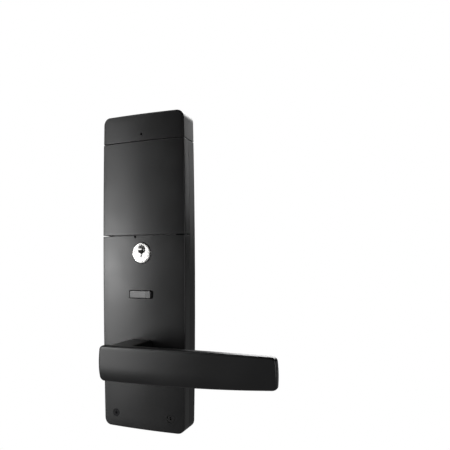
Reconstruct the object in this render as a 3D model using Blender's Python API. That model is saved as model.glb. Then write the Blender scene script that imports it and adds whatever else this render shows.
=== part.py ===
"""Inside unit of a keypad smart lock: escutcheon, covers, lever, key cylinder, snib and battery pack.

The unit stands upright on the room side of a door. +Z is up, +X is to the right of someone who faces it,
and its rear face lies on the door at Y = 0. Distances in front of the door are called "out": out = -Y.
"""

import math

import bmesh
import bpy
from mathutils import Matrix, Vector

MM = 0.001

# Outer shape of the escutcheon
HEIGHT = 264 * MM
END_WIDTH = 75.7 * MM
SIDE_BOW = 1.4 * MM
EDGE_DEPTH = 19.5 * MM
FACE_CROWN = 1.5 * MM
CORNER_RADIUS = 6 * MM
EDGE_ROUND = 1.2 * MM

# Lower cover's finger notch and lip, battery cover's hooks and tongue, hole for the cable to the other side
NOTCH_LEFT = -7 * MM
NOTCH_RIGHT = 7.4 * MM
NOTCH_TALL = 2.1 * MM
NOTCH_DEEP = 1.2 * MM
LIP_HALF = 30 * MM
LIP_THICK = 1.2 * MM
LIP_DEEP = 3.2 * MM
LIP_FOOT = 3 * MM
LIP_SHELF = 1.6 * MM
HOOK_X = (9 * MM, 17 * MM)
HOOK_RISE = 2.4 * MM
HOOK_DEEP = 2.6 * MM
HOOK_THICK = 1.4 * MM
HOOK_FOOT = 3 * MM
HOOK_ARM = 2 * MM
TONGUE_HALF = 6 * MM
TONGUE_BACK_OUT = 14.5 * MM
TONGUE_LIFT = 1.2 * MM
CABLE_HOLE_X = (-22 * MM, -8 * MM)
CABLE_HOLE_Z = (70 * MM, 84 * MM)
CABLE_HOLE_CORNER = 5 * MM

# Walls, seams and clearances
WALL = 2.0 * MM
HOUSING_WALL = 3.6 * MM
LIP_RISE = 2.6 * MM
FLOOR = 2.0 * MM
SIDE_SEAM_OUT = 10.5 * MM
CAP_SEAM_Z = 109.0 * MM
COVER_SEAM_Z = 30.4 * MM
SEAM_GAP = 0.6 * MM
COVER_GAP = 0.8 * MM
GAP = 0.3 * MM
PLATE = 2.0 * MM

# Places on the centre line: the lever's axis stands a lock-case centre distance below the cylinder's
LEVER_Z = -69.5 * MM
CENTRE_DISTANCE = 85 * MM
SNIB_X = -1.0 * MM
SNIB_Z = -19 * MM

# Lever: blade, neck, boss and the square bar it turns
BLADE_LEFT = -16.0 * MM
BLADE_RIGHT = 123.6 * MM
BLADE_TOP = 13.3 * MM
BLADE_TOP_RISE = 0.6 * MM
BLADE_BOTTOM = 14.2 * MM
BLADE_TAPER = 1.6 * MM
BLADE_SWEEP = 3.2 * MM
BLADE_OUT = 60 * MM
BLADE_BOW = 2 * MM
BLADE_THICK = 8 * MM
BLADE_END_THICK = 6.8 * MM
BLADE_END_BULGE = 1.1 * MM
BLADE_CORNER = 3.2 * MM
BLADE_EDGE = 1.6 * MM
NECK_LEFT = -12.5 * MM
NECK_RIGHT = 10.0 * MM
NECK_HEIGHT = 25.6 * MM
NECK_CORNER = 3.0 * MM
NECK_STANDOFF = 0.6 * MM
BOSS_RADIUS = 7.6 * MM
BOSS_BACK_OUT = 12.4 * MM
GROOVE_DEPTH = 0.7 * MM
SPINDLE_SIDE = 8 * MM
SPINDLE_FRONT_OUT = 38 * MM
SPINDLE_BEHIND = 45 * MM
GRUB_OUT = 30 * MM
GRUB_RADIUS = 2.5 * MM
GRUB_LENGTH = 7 * MM
BUSH_RADIUS = 9.3 * MM
BUSH_FLANGE_RADIUS = 12.5 * MM
CIRCLIP_THICK = 1.0 * MM
CIRCLIP_WIDTH = 2.2 * MM

# Spring cassette behind the lever
CUP_RADIUS = 22 * MM
CUP_WALL = 1.5 * MM
CUP_RIM_OUT = 12.0 * MM
HUB_RADIUS = 18 * MM
HUB_THICK = 1.8 * MM
HUB_OUT = 11.0 * MM
HUB_COLLAR_RADIUS = 8 * MM
LUG_LENGTH = 3.2 * MM
LUG_WIDTH = 4 * MM
LEVER_TURN = math.radians(45)
STOP_WIDTH = 3.6 * MM
STOP_PLAY = math.radians(1.5)
RETURN_COIL_RADIUS = 12.4 * MM
RETURN_WIRE_RADIUS = 0.8 * MM
RETURN_TURNS = 1.75
CUP_EAR_X = 27 * MM

# Key cylinder
CYLINDER_RADIUS = 8.5 * MM
CYLINDER_PROUD = 0.5 * MM
CYLINDER_LEG_WIDTH = 10 * MM
CYLINDER_HEIGHT = 33 * MM
CYLINDER_PLAY = 0.8 * MM
CYLINDER_REAR = 8 * MM
PLUG_RADIUS = CYLINDER_RADIUS - 1.3 * MM
PLUG_REAR = 17.5 * MM
PLUG_SUNK = 0.2 * MM
KEYHOLE_RADIUS = PLUG_RADIUS / 2
KEYHOLE_ABOVE = KEYHOLE_RADIUS - 0.5 * MM
KEYHOLE_DEPTH = 3 * MM
KEYWAY_WIDTH = 1.6 * MM
KEYWAY_BELOW = 3.2 * MM
KEYWAY_DEPTH = 22 * MM
CAM_THICK = 8.4 * MM
CAM_NOSE = 15 * MM
CAM_NOSE_WIDTH = 6 * MM
CAM_NOSE_STEP = 0.4 * MM

# Snib rocker
SNIB_LENGTH = 21 * MM
SNIB_HEIGHT = 6.2 * MM
SNIB_FACE = 3.1 * MM
SNIB_BELOW = 4.2 * MM
SNIB_TILT = math.radians(6)
SNIB_GAP = 0.4 * MM
SNIB_AXIS_DEPTH = 2.0 * MM
SNIB_PIN_RADIUS = 0.8 * MM
SNIB_EAR = 2.8 * MM
SNIB_EAR_DEPTH = 3.2 * MM

# Battery pack
CELL_RADIUS = 7.1 * MM
CELL_LENGTH = 49.2 * MM
CELL_NUB = 1.1 * MM
CELL_PITCH = 14.9 * MM
CELLS = 4
SPRING_ROOM = 4.6 * MM
CONTACT = 0.5 * MM
TRAY_WALL = 1.2 * MM
TRAY_RISE = 9.5 * MM
TRAY_RIB = 2.6 * MM
TRAY_ABOVE_SEAM = 3.4 * MM
PINHOLE_RADIUS = 0.8 * MM
PINHOLE_Z = 114.5 * MM

# Electronics
BOARD_WIDTH = 50 * MM
BOARD_HEIGHT = 28 * MM
BOARD_THICK = 1.6 * MM
BOARD_OUT = 7.3 * MM
BOARD_SCREW_X = 21 * MM
BOARD_SCREW_Z = 123 * MM
BUZZER_RADIUS = 6 * MM
BUZZER_RISE = 5.5 * MM
LEAD_RADIUS = 0.7 * MM
SOCKET_WALL = 0.9 * MM

# Fasteners
COVER_SCREW_X = 26 * MM
COVER_SCREW_Z = -120.3 * MM
COVER_SCREW_HEAD = 3.1 * MM
COVER_SCREW_SUNK = 0.25 * MM
COVER_POST_RADIUS = 3.6 * MM
CAP_POST_RADIUS = 3.2 * MM
BOARD_POST_RADIUS = 2.8 * MM
SCREW_SHANK = 1.5 * MM
SMALL_SHANK = 1.2 * MM
CAP_SCREW_X = 30 * MM
CAP_SCREW_Z = 104 * MM
CAP_TAB_OUT = 14.0 * MM
CAP_TAB = 1.8 * MM
CAP_TAB_HALF = 3.2 * MM
BOLT_RADIUS = 2.5 * MM
BOLT_HEAD_RADIUS = 4.5 * MM
BOLT_HEAD = 2.4 * MM
BOLT_BEHIND = 42 * MM
BOLT_UPPER_Z = 100 * MM
BOLT_LOWER_Z = -106 * MM

# Facets
FACE_COLUMNS = 8
FACE_ROWS = 8
CORNER_STEPS = 4
ROUND = 24
SMALL_ROUND = 12

CYLINDER_Z = LEVER_Z + CENTRE_DISTANCE
FRONT_OUT = EDGE_DEPTH + FACE_CROWN
INNER_OUT = FRONT_OUT - WALL
BOARD_CENTRE_Z = PINHOLE_Z - 2.5 * MM


def clear_scene():
    for obj in list(bpy.data.objects):
        bpy.data.objects.remove(obj)


def finish(name, colour, roughness, metallic=0.0):
    """A Principled material of one finish."""
    made = bpy.data.materials.new(name)
    made.use_nodes = True
    shader = made.node_tree.nodes["Principled BSDF"]
    shader.inputs["Base Color"].default_value = (*colour, 1.0)
    shader.inputs["Roughness"].default_value = roughness
    shader.inputs["Metallic"].default_value = metallic
    return made


def face_outward(bm):
    bmesh.ops.recalc_face_normals(bm, faces=bm.faces)
    if bm.calc_volume(signed=True) < 0:
        bmesh.ops.reverse_faces(bm, faces=bm.faces)


def place(bm, name, material, pivot=(0, 0, 0), parent=None):
    """Makes a named object of a mesh drawn in world space, with its origin at the pivot."""
    bm.transform(Matrix.Translation(-Vector(pivot)))
    face_outward(bm)
    mesh = bpy.data.meshes.new(name)
    bm.to_mesh(mesh)
    bm.free()
    obj = bpy.data.objects.new(name, mesh)
    bpy.context.scene.collection.objects.link(obj)
    if parent is None:
        obj.location = pivot
    else:
        obj.parent = parent
        obj.location = Vector(pivot) - parent.location
    if material is not None:
        mesh.materials.append(material)
        mesh.shade_smooth()
        mesh.set_sharp_from_angle(angle=math.radians(30))
    return obj


def helper(bm, name):
    """A shape that only cuts, joins or trims another."""
    obj = place(bm, name, None)
    obj.hide_render = True
    obj.display_type = "WIRE"
    return obj


def boolean(obj, bm, operation):
    other = helper(bm, f"{obj.name}_{operation.lower()}_{len(obj.modifiers)}")
    modifier = obj.modifiers.new(other.name, "BOOLEAN")
    modifier.operation = operation
    modifier.object = other


def cut(obj, bm):
    boolean(obj, bm, "DIFFERENCE")


def join(obj, bm):
    boolean(obj, bm, "UNION")


def trim(obj, bm):
    boolean(obj, bm, "INTERSECT")


def pivot_empty(name, location):
    """Marks a joint's axis; the pieces that turn on it hang from it."""
    empty = bpy.data.objects.new(name, None)
    empty.location = location
    empty.empty_display_size = 10 * MM
    bpy.context.scene.collection.objects.link(empty)
    return empty


def box(x, out, z):
    """A block between two values of x, of out and of z."""
    bm = bmesh.new()
    bmesh.ops.create_cube(bm, size=1)
    size = (x[1] - x[0], out[1] - out[0], z[1] - z[0])
    centre = ((x[0] + x[1]) / 2, -(out[0] + out[1]) / 2, (z[0] + z[1]) / 2)
    bmesh.ops.scale(bm, vec=size, verts=bm.verts)
    bmesh.ops.translate(bm, vec=centre, verts=bm.verts)
    return bm


def rounded_box(x, out, z, radius, along="Y", steps=3):
    """A block whose four edges along one axis are rounded."""
    bm = box(x, out, z)
    axis = "XYZ".index(along)
    edges = [e for e in bm.edges if abs((e.verts[0].co - e.verts[1].co).normalized()[axis]) > 0.9]
    bmesh.ops.bevel(bm, geom=edges, offset=radius, segments=steps, profile=0.5, affect="EDGES")
    return bm


def turned(profile, x=0.0, z=0.0, steps=ROUND, direction="Y", centre_out=0.0, hollow=False):
    """A solid turned about an axis. Each point of the profile is (radius, distance along the axis); along Y
    the distance is "out". Both ends are flat, or the profile closes on itself as a hollow ring."""
    bm = bmesh.new()
    rings = []
    for radius, along in profile:
        turn = [2 * math.pi * (i + 0.5) / steps for i in range(steps)]
        rings.append([bm.verts.new((radius * math.cos(a), radius * math.sin(a), along)) for a in turn])
    pairs = list(zip(rings, rings[1:]))
    if hollow:
        pairs.append((rings[-1], rings[0]))
    else:
        bm.faces.new(rings[0])
        bm.faces.new(rings[-1])
    for first, second in pairs:
        for i in range(steps):
            j = (i + 1) % steps
            bm.faces.new([first[i], first[j], second[j], second[i]])
    if direction == "Y":
        bm.transform(Matrix.Translation((x, 0, z)) @ Matrix.Rotation(math.radians(90), 4, "X"))
    else:
        bm.transform(Matrix.Translation((x, -centre_out, z)))
    face_outward(bm)
    return bm


def rod(radius, start, end, x=0.0, z=0.0, steps=ROUND):
    """A round bar along Y between two values of out."""
    return turned([(radius, start), (radius, end)], x, z, steps)


def ring(inner, outer, start, end, x=0.0, z=0.0, steps=ROUND):
    return turned([(inner, start), (outer, start), (outer, end), (inner, end)], x, z, steps, hollow=True)


def gathered(shapes):
    """Several shapes that stand apart, as one cutter or one addition."""
    bm = bmesh.new()
    for shape in shapes:
        mesh = bpy.data.meshes.new("gathered")
        shape.to_mesh(mesh)
        bm.from_mesh(mesh)
        bpy.data.meshes.remove(mesh)
        shape.free()
    return bm


def extruded(corners, move):
    """A prism: a flat outline of corners, carried along a vector."""
    bm = bmesh.new()
    face = bm.faces.new([bm.verts.new(corner) for corner in corners])
    made = bmesh.ops.extrude_face_region(bm, geom=[face])
    bmesh.ops.translate(bm, vec=move, verts=[v for v in made["geom"] if isinstance(v, bmesh.types.BMVert)])
    face_outward(bm)
    return bm


def slab(columns, rows, front, back, corner, edge, back_edge=0.0):
    """A closed plate on a grid of u by v. Its four corner edges get a radius, then the front edge all round
    and, if asked, the back edge."""
    bm = bmesh.new()
    us = [-1 + 2 * i / columns for i in range(columns + 1)]
    vs = [-1 + 2 * i / rows for i in range(rows + 1)]
    grids = [[[bm.verts.new(at(u, v)) for u in us] for v in vs] for at in (front, back)]
    for side, grid in enumerate(grids):
        for lower, upper in zip(grid, grid[1:]):
            for i in range(columns):
                face = [lower[i], lower[i + 1], upper[i + 1], upper[i]]
                bm.faces.new(face if side == 0 else face[::-1])
    walls = [[grid[0] for grid in grids], [grid[-1][::-1] for grid in grids]]
    walls += [[[row[0] for row in grid][::-1] for grid in grids]]
    walls += [[[row[-1] for row in grid] for grid in grids]]
    corners = set()
    for near, far in walls:
        corners.add((near[0], far[0]))
        for i in range(len(near) - 1):
            bm.faces.new([near[i + 1], near[i], far[i], far[i + 1]])
    face_outward(bm)
    edges = [bm.edges.get(pair) for pair in corners]
    bmesh.ops.bevel(
        bm, geom=edges, offset=corner, segments=CORNER_STEPS, profile=0.5, affect="EDGES", clamp_overlap=True
    )
    bm.normal_update()
    for width, facing in ((edge, -1), (back_edge, 1)):
        if width == 0:
            continue
        rim = []
        for e in bm.edges:
            facings = sorted(facing * f.normal.y for f in e.link_faces)
            if facings[-1] > 0.7 and facings[0] < 0.5:
                rim.append(e)
        bmesh.ops.bevel(bm, geom=rim, offset=width, segments=2, profile=0.5, affect="EDGES")
        bm.normal_update()
    return bm


def half_width(z):
    return END_WIDTH / 2 + SIDE_BOW * (1 - (2 * z / HEIGHT) ** 2)


def face_out(x):
    """How far out the crowned front stands at a distance x from the centre line."""
    return EDGE_DEPTH + FACE_CROWN * (1 - (2 * x / END_WIDTH) ** 2)


def body(inset, back_out=0.0):
    """The escutcheon's outer shape, moved in by an inset at the front, sides and ends."""

    def front(u, v):
        z = v * (HEIGHT / 2 - inset)
        crown = FACE_CROWN * (1 - u * u)
        return (u * (half_width(z) - inset), -(EDGE_DEPTH + crown - inset), z)

    def back(u, v):
        x, _, z = front(u, v)
        return (x, -back_out, z)

    edge = EDGE_ROUND if inset == 0 else 0
    return slab(FACE_COLUMNS, FACE_ROWS, front, back, max(CORNER_RADIUS - inset, 1 * MM), edge)


def prism(inset, start, end):
    """The escutcheon's outline, moved in by an inset, between two flat ends."""

    def at(out):
        def point(u, v):
            z = v * (HEIGHT / 2 - inset)
            return (u * (half_width(z) - inset), -out, z)

        return point

    bm = slab(1, FACE_ROWS, at(end), at(start), max(CORNER_RADIUS - inset, 1 * MM), 0)
    return bm


def coil(radius, end_radius, wire, turns, start, pitch, x=0.0, z=0.0, turn_steps=12, wire_steps=6, lie="Y"):
    """A wire wound about an axis through (x, z), along Y from a value of out, or along Z from a height."""
    bm = bmesh.new()
    count = int(turns * turn_steps)
    rings = []
    for i in range(count + 1):
        angle = 2 * math.pi * i / turn_steps
        r = radius + (end_radius - radius) * i / count
        centre = Vector((r * math.cos(angle), r * math.sin(angle), pitch * i / turn_steps))
        outward = Vector((math.cos(angle), math.sin(angle), 0))
        section = [2 * math.pi * k / wire_steps for k in range(wire_steps)]
        around = [outward * math.cos(a) + Vector((0, 0, math.sin(a))) for a in section]
        rings.append([bm.verts.new(centre + wire * offset) for offset in around])
    for first, second in zip(rings, rings[1:]):
        for k in range(wire_steps):
            n = (k + 1) % wire_steps
            bm.faces.new([first[k], first[n], second[n], second[k]])
    bm.faces.new(rings[0][::-1])
    bm.faces.new(rings[-1])
    if lie == "Y":
        bm.transform(Matrix.Translation((x, -start, z)) @ Matrix.Rotation(math.radians(90), 4, "X"))
    else:
        bm.transform(Matrix.Translation((x, 0, z)))
    face_outward(bm)
    return bm


def screw(x, z, under_head, head, head_radius, shank_end, countersunk=False, shank=SCREW_SHANK):
    """A screw along Y: its head's face is at under_head + head, and a cross recess goes into it."""
    face = under_head + head
    side = [(head_radius, face)] if countersunk else [(head_radius, under_head), (head_radius, face)]
    bm = turned([(shank, shank_end), (shank, under_head), *side], x, z, 2 * SMALL_ROUND)
    arms = []
    reach, half, deep = 0.55 * head_radius, 0.13 * head_radius, 0.6 * head
    for wide, tall in ((reach, half), (half, reach)):
        arms.append(box((x - wide, x + wide), (face - deep, face + head), (z - tall, z + tall)))
    return bm, arms


def screw_piece(name, material, *args, **options):
    bm, arms = screw(*args, **options)
    obj = place(bm, name, material)
    for arm in arms:
        cut(obj, arm)
    return obj


clear_scene()

black_cast = finish("black_cast", (0.018, 0.018, 0.019), 0.45, 0.3)
black_plastic = finish("black_plastic", (0.02, 0.02, 0.021), 0.5)
dark_plastic = finish("dark_plastic", (0.05, 0.05, 0.055), 0.55)
satin_chrome = finish("satin_chrome", (0.8, 0.8, 0.78), 0.25, 1.0)
zinc_steel = finish("zinc_steel", (0.55, 0.56, 0.58), 0.35, 1.0)
spring_steel = finish("spring_steel", (0.45, 0.45, 0.47), 0.3, 1.0)
black_steel = finish("black_steel", (0.03, 0.03, 0.032), 0.4, 0.8)
nylon = finish("nylon", (0.75, 0.74, 0.7), 0.5)
nickel = finish("nickel", (0.72, 0.7, 0.64), 0.25, 1.0)
board_green = finish("board_green", (0.02, 0.12, 0.05), 0.45)
cell_wrap = finish("cell_wrap", (0.28, 0.3, 0.33), 0.35, 0.2)
lead_red = finish("lead_red", (0.5, 0.03, 0.03), 0.45)
lead_black = finish("lead_black", (0.02, 0.02, 0.02), 0.45)

wide = END_WIDTH
tall = HEIGHT
cap_bottom = CAP_SEAM_Z + SEAM_GAP / 2
cover_top = CAP_SEAM_Z - SEAM_GAP / 2
cover_bottom = COVER_SEAM_Z + COVER_GAP / 2
lower_top = COVER_SEAM_Z - COVER_GAP / 2
floor_back = PLATE + GAP
floor_front = floor_back + FLOOR
tray_bottom = COVER_SEAM_Z + TRAY_ABOVE_SEAM
tray_inside = CELL_LENGTH + CELL_NUB + SPRING_ROOM + 2 * CONTACT + 4 * GAP
tray_top = tray_bottom + tray_inside + 2 * TRAY_WALL
tray_half = CELLS * CELL_PITCH / 2 + TRAY_WALL + 0.4 * MM
bolt_places = {"upper": BOLT_UPPER_Z, "lower": BOLT_LOWER_Z}
sides = {"left": -1, "right": 1}


# Mounting plate: steel, inside the housing's rim, flush with it on the door
mounting_plate = place(prism(HOUSING_WALL + GAP, 0, PLATE), "mounting_plate", zinc_steel)
plate_holes = [
    rod(SPINDLE_SIDE, -PLATE, 2 * PLATE, 0, LEVER_Z),
    rod(CYLINDER_RADIUS + CYLINDER_PLAY, -PLATE, 2 * PLATE, 0, CYLINDER_Z),
    rounded_box(CABLE_HOLE_X, (-PLATE, 2 * PLATE), CABLE_HOLE_Z, CABLE_HOLE_CORNER),
]
for bolt_z in bolt_places.values():
    plate_holes.append(rod(BOLT_RADIUS + GAP, -PLATE, 2 * PLATE, 0, bolt_z, SMALL_ROUND))
for sign in sides.values():
    foot_x = sign * COVER_SCREW_X
    plate_holes.append(rod(SCREW_SHANK + GAP, -PLATE, 2 * PLATE, foot_x, COVER_SCREW_Z, SMALL_ROUND))
cut(mounting_plate, gathered(plate_holes))

# Housing: rim, inner lip and floor, open where the battery tray, the cassette and the cylinder sit
rim_out = SIDE_SEAM_OUT - GAP
housing = place(prism(0, 0, rim_out), "housing", black_plastic)
cut(housing, box((-wide, wide), (-tall, tall), (cover_top, tall)))
join(housing, prism(WALL + GAP, GAP, rim_out + LIP_RISE))
cut(housing, prism(HOUSING_WALL, floor_front, tall))
cut(housing, prism(HOUSING_WALL, -tall, floor_back))
post_root = floor_back + FLOOR / 2
post_foot = post_root + FLOOR
cover_boss_out = face_out(COVER_SCREW_X) - WALL - 2 * GAP
posts = []
openings = [
    box((-tray_half - GAP, tray_half + GAP), (0, tall), (tray_bottom - GAP, tray_top + GAP)),
    rod(CUP_RADIUS + GAP, 0, tall, 0, LEVER_Z, ROUND),
    rod(CYLINDER_RADIUS + CYLINDER_PLAY, 0, tall, 0, CYLINDER_Z),
]
for bolt_z in bolt_places.values():
    openings.append(rod(BOLT_HEAD_RADIUS + 2 * GAP, 0, tall, 0, bolt_z, SMALL_ROUND))
for sign in sides.values():
    cover_x, cap_x, board_x = (sign * COVER_SCREW_X, sign * CAP_SCREW_X, sign * BOARD_SCREW_X)
    posts.append(rod(COVER_POST_RADIUS, post_root, cover_boss_out, cover_x, COVER_SCREW_Z, SMALL_ROUND))
    posts.append(rod(CAP_POST_RADIUS, post_root, CAP_TAB_OUT - GAP, cap_x, CAP_SCREW_Z, SMALL_ROUND))
    posts.append(rod(BOARD_POST_RADIUS, post_root, BOARD_OUT - GAP, board_x, BOARD_SCREW_Z, SMALL_ROUND))
    openings.append(rod(SCREW_SHANK + GAP, 0, tall, cover_x, COVER_SCREW_Z, SMALL_ROUND))
    openings.append(rod(SCREW_SHANK, post_foot, tall, cap_x, CAP_SCREW_Z, SMALL_ROUND))
    openings.append(rod(SCREW_SHANK, post_foot, tall, board_x, BOARD_SCREW_Z, SMALL_ROUND))
    openings.append(rod(SCREW_SHANK + GAP, 0, tall, sign * CUP_EAR_X, LEVER_Z, SMALL_ROUND))
join(housing, gathered(posts))
cut(housing, gathered(openings))

# Top cap: a full-depth shell over the top end, with a tab on each side for its screw
top_cap = place(body(0, 0), "top_cap", black_plastic)
trim(top_cap, box((-wide, wide), (0, tall), (cap_bottom, tall)))
cut(top_cap, body(WALL, -tall))
for sign in sides.values():
    tab_x = sorted((sign * (CAP_SCREW_X - CAP_TAB_HALF), sign * (CAP_SCREW_X + CAP_TAB_HALF)))
    tab_root = cap_bottom + WALL
    join(top_cap, box(tab_x, (CAP_TAB_OUT, CAP_TAB_OUT + CAP_TAB), (CAP_SCREW_Z - CAP_TAB_HALF, tab_root)))
    join(top_cap, box(tab_x, (CAP_TAB_OUT, INNER_OUT), (cap_bottom, tab_root)))
    cut(top_cap, rod(SCREW_SHANK + GAP, 0, INNER_OUT, sign * CAP_SCREW_X, CAP_SCREW_Z, SMALL_ROUND))
cut(top_cap, rod(PINHOLE_RADIUS, INNER_OUT - WALL, FRONT_OUT + WALL, 0, PINHOLE_Z, SMALL_ROUND))

# Battery cover: hooks under the cap, swings out about its top edge
cover_axis = pivot_empty("battery_cover_axis", (0, -(FRONT_OUT + EDGE_DEPTH) / 2, cover_top))
battery_cover = place(body(0, 0), "battery_cover", black_plastic, cover_axis.location, cover_axis)
trim(battery_cover, box((-wide, wide), (SIDE_SEAM_OUT, tall), (cover_bottom, cover_top)))
cut(battery_cover, body(WALL, 0))
hook_back = INNER_OUT - HOOK_DEEP
hook_root = cover_top - HOOK_FOOT
hook_tip = cover_top + SEAM_GAP + HOOK_RISE
into_wall = INNER_OUT + WALL / 3
for sign in sides.values():
    hook_x = sorted(sign * reach for reach in HOOK_X)
    join(battery_cover, box(hook_x, (hook_back, hook_back + HOOK_THICK), (hook_root, hook_tip)))
    join(battery_cover, box(hook_x, (hook_back, into_wall), (hook_root, hook_root + HOOK_ARM)))
tongue_z = (cover_bottom + TONGUE_LIFT, cover_bottom + 2 * TONGUE_LIFT)
join(battery_cover, box((-TONGUE_HALF, TONGUE_HALF), (TONGUE_BACK_OUT, into_wall), tongue_z))

# Lower cover: long crowned panel with the openings for cylinder, snib, lever and two screws
lower_cover = place(body(0, 0), "lower_cover", black_cast)
trim(lower_cover, box((-wide, wide), (SIDE_SEAM_OUT, tall), (-tall, lower_top)))
cut(lower_cover, body(WALL, 0))
cut(lower_cover, rod(CYLINDER_RADIUS + GAP, EDGE_DEPTH - 2 * WALL, tall, 0, CYLINDER_Z, 2 * ROUND))
cut(lower_cover, rod(BUSH_RADIUS + GAP, EDGE_DEPTH - 2 * WALL, tall, 0, LEVER_Z, 2 * ROUND))
snib_open = SNIB_LENGTH / 2 + 2 * SNIB_GAP
snib_rise = SNIB_HEIGHT / 2 + SNIB_GAP
snib_axis_out = FRONT_OUT - SNIB_AXIS_DEPTH
for sign in sides.values():
    ear_z = sorted((SNIB_Z + sign * snib_rise, SNIB_Z + sign * (snib_rise + SNIB_EAR)))
    ear_x = (SNIB_X - SNIB_EAR, SNIB_X + SNIB_EAR)
    join(lower_cover, box(ear_x, (INNER_OUT - SNIB_EAR_DEPTH, INNER_OUT + WALL / 2), ear_z))
window_x = (SNIB_X - snib_open, SNIB_X + snib_open)
window_z = (SNIB_Z - snib_rise, SNIB_Z + snib_rise)
cut(lower_cover, rounded_box(window_x, (EDGE_DEPTH - 2 * WALL, tall), window_z, 1.2 * MM))
pin_reach = snib_rise + SNIB_EAR - 0.8 * MM
pin_hole = [(SNIB_PIN_RADIUS + GAP / 2, -pin_reach), (SNIB_PIN_RADIUS + GAP / 2, pin_reach)]
cut(lower_cover, turned(pin_hole, SNIB_X, SNIB_Z, SMALL_ROUND, "Z", snib_axis_out))
notch_z = (lower_top - NOTCH_TALL, tall)
cut(lower_cover, box((NOTCH_LEFT, NOTCH_RIGHT), (FRONT_OUT - NOTCH_DEEP, tall), notch_z))
lip_back = INNER_OUT - LIP_DEEP
lip_front = lip_back + LIP_THICK
lip_foot = lower_top - LIP_FOOT
lip_shelf = lower_top - LIP_SHELF
shelf_front = INNER_OUT + GAP
lip = [(lip_back, lip_foot), (shelf_front, lip_foot), (shelf_front, lip_shelf)]
lip += [(lip_front, lip_shelf), (lip_front, cover_bottom), (lip_back, cover_bottom)]
join(lower_cover, extruded([(-LIP_HALF, -out, z) for out, z in lip], (2 * LIP_HALF, 0, 0)))
for name, sign in sides.items():
    screw_x = sign * COVER_SCREW_X
    head_out = face_out(COVER_SCREW_X) - COVER_SCREW_SUNK
    sink = COVER_SCREW_HEAD - SCREW_SHANK
    seat = [(SCREW_SHANK + GAP, 0), (SCREW_SHANK + GAP, head_out - sink), (COVER_SCREW_HEAD + GAP, head_out)]
    seat += [(COVER_SCREW_HEAD + GAP, tall)]
    cut(lower_cover, turned(seat, screw_x, COVER_SCREW_Z, 2 * SMALL_ROUND))
    cover_screw = (screw_x, COVER_SCREW_Z, head_out - sink, sink, COVER_SCREW_HEAD, GAP)
    screw_piece(f"cover_screw_{name}", black_steel, *cover_screw, countersunk=True)
    tab_front = CAP_TAB_OUT + CAP_TAB + GAP
    cap_screw = (sign * CAP_SCREW_X, CAP_SCREW_Z, tab_front, 1.4 * MM, 2.6 * MM, 6.5 * MM)
    screw_piece(f"cap_screw_{name}", zinc_steel, *cap_screw, shank=SMALL_SHANK)

# Bolts through the door into the outside unit
for name, bolt_z in bolt_places.items():
    bolt = (0, bolt_z, floor_back, BOLT_HEAD, BOLT_HEAD_RADIUS, -BOLT_BEHIND)
    screw_piece(f"mounting_bolt_{name}", zinc_steel, *bolt, shank=BOLT_RADIUS)

# Key cylinder: round body, its leg turned up behind the door face, plug with keyway, cam
cylinder_face = FRONT_OUT + CYLINDER_PROUD
cylinder_bm = rod(CYLINDER_RADIUS, -CYLINDER_REAR, cylinder_face, 0, CYLINDER_Z, 2 * ROUND)
cylinder_body = place(cylinder_bm, "cylinder_body", satin_chrome)
leg_x = (-CYLINDER_LEG_WIDTH / 2, CYLINDER_LEG_WIDTH / 2)
leg_z = (CYLINDER_Z, CYLINDER_Z - CYLINDER_RADIUS + CYLINDER_HEIGHT)
join(cylinder_body, rounded_box(leg_x, (-CYLINDER_REAR + GAP, -GAP), leg_z, CYLINDER_LEG_WIDTH / 2 - GAP))
cut(cylinder_body, rod(PLUG_RADIUS + GAP, -tall, tall, 0, CYLINDER_Z, ROUND))
plug_axis = pivot_empty("cylinder_plug_axis", (0, 0, CYLINDER_Z))
plug_bm = rod(PLUG_RADIUS, -PLUG_REAR, cylinder_face - PLUG_SUNK, 0, CYLINDER_Z, ROUND)
cylinder_plug = place(plug_bm, "cylinder_plug", satin_chrome, plug_axis.location, plug_axis)
keyhole_z = CYLINDER_Z + KEYHOLE_ABOVE
guide = [(KEYWAY_WIDTH / 2, cylinder_face - KEYHOLE_DEPTH), (KEYHOLE_RADIUS, cylinder_face - PLUG_SUNK)]
guide += [(KEYHOLE_RADIUS + PLUG_SUNK, cylinder_face)]
cut(cylinder_plug, turned(guide, 0, keyhole_z, ROUND))
keyway_x = (-KEYWAY_WIDTH / 2, KEYWAY_WIDTH / 2)
keyway_z = (CYLINDER_Z - KEYWAY_BELOW, keyhole_z + KEYWAY_WIDTH)
cut(cylinder_plug, box(keyway_x, (cylinder_face - KEYWAY_DEPTH, tall), keyway_z))
cam_front = -CYLINDER_REAR - 2 * GAP
cam_bm = rod(CYLINDER_RADIUS, cam_front - CAM_THICK, cam_front, 0, CYLINDER_Z, ROUND)
cylinder_cam = place(cam_bm, "cylinder_cam", zinc_steel, plug_axis.location, plug_axis)
nose_z = (CYLINDER_Z, CYLINDER_Z + CAM_NOSE)
nose_x = (-CAM_NOSE_WIDTH / 2, CAM_NOSE_WIDTH / 2)
nose_out = (cam_front - CAM_THICK + CAM_NOSE_STEP, cam_front - CAM_NOSE_STEP)
join(cylinder_cam, rounded_box(nose_x, nose_out, nose_z, 1.5 * MM))
cut(cylinder_cam, rod(PLUG_RADIUS + GAP, -tall, tall, 0, CYLINDER_Z, ROUND))

# Lever: blade, square neck and round boss in one casting
lever_axis = pivot_empty("lever_axis", (0, 0, LEVER_Z))


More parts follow.
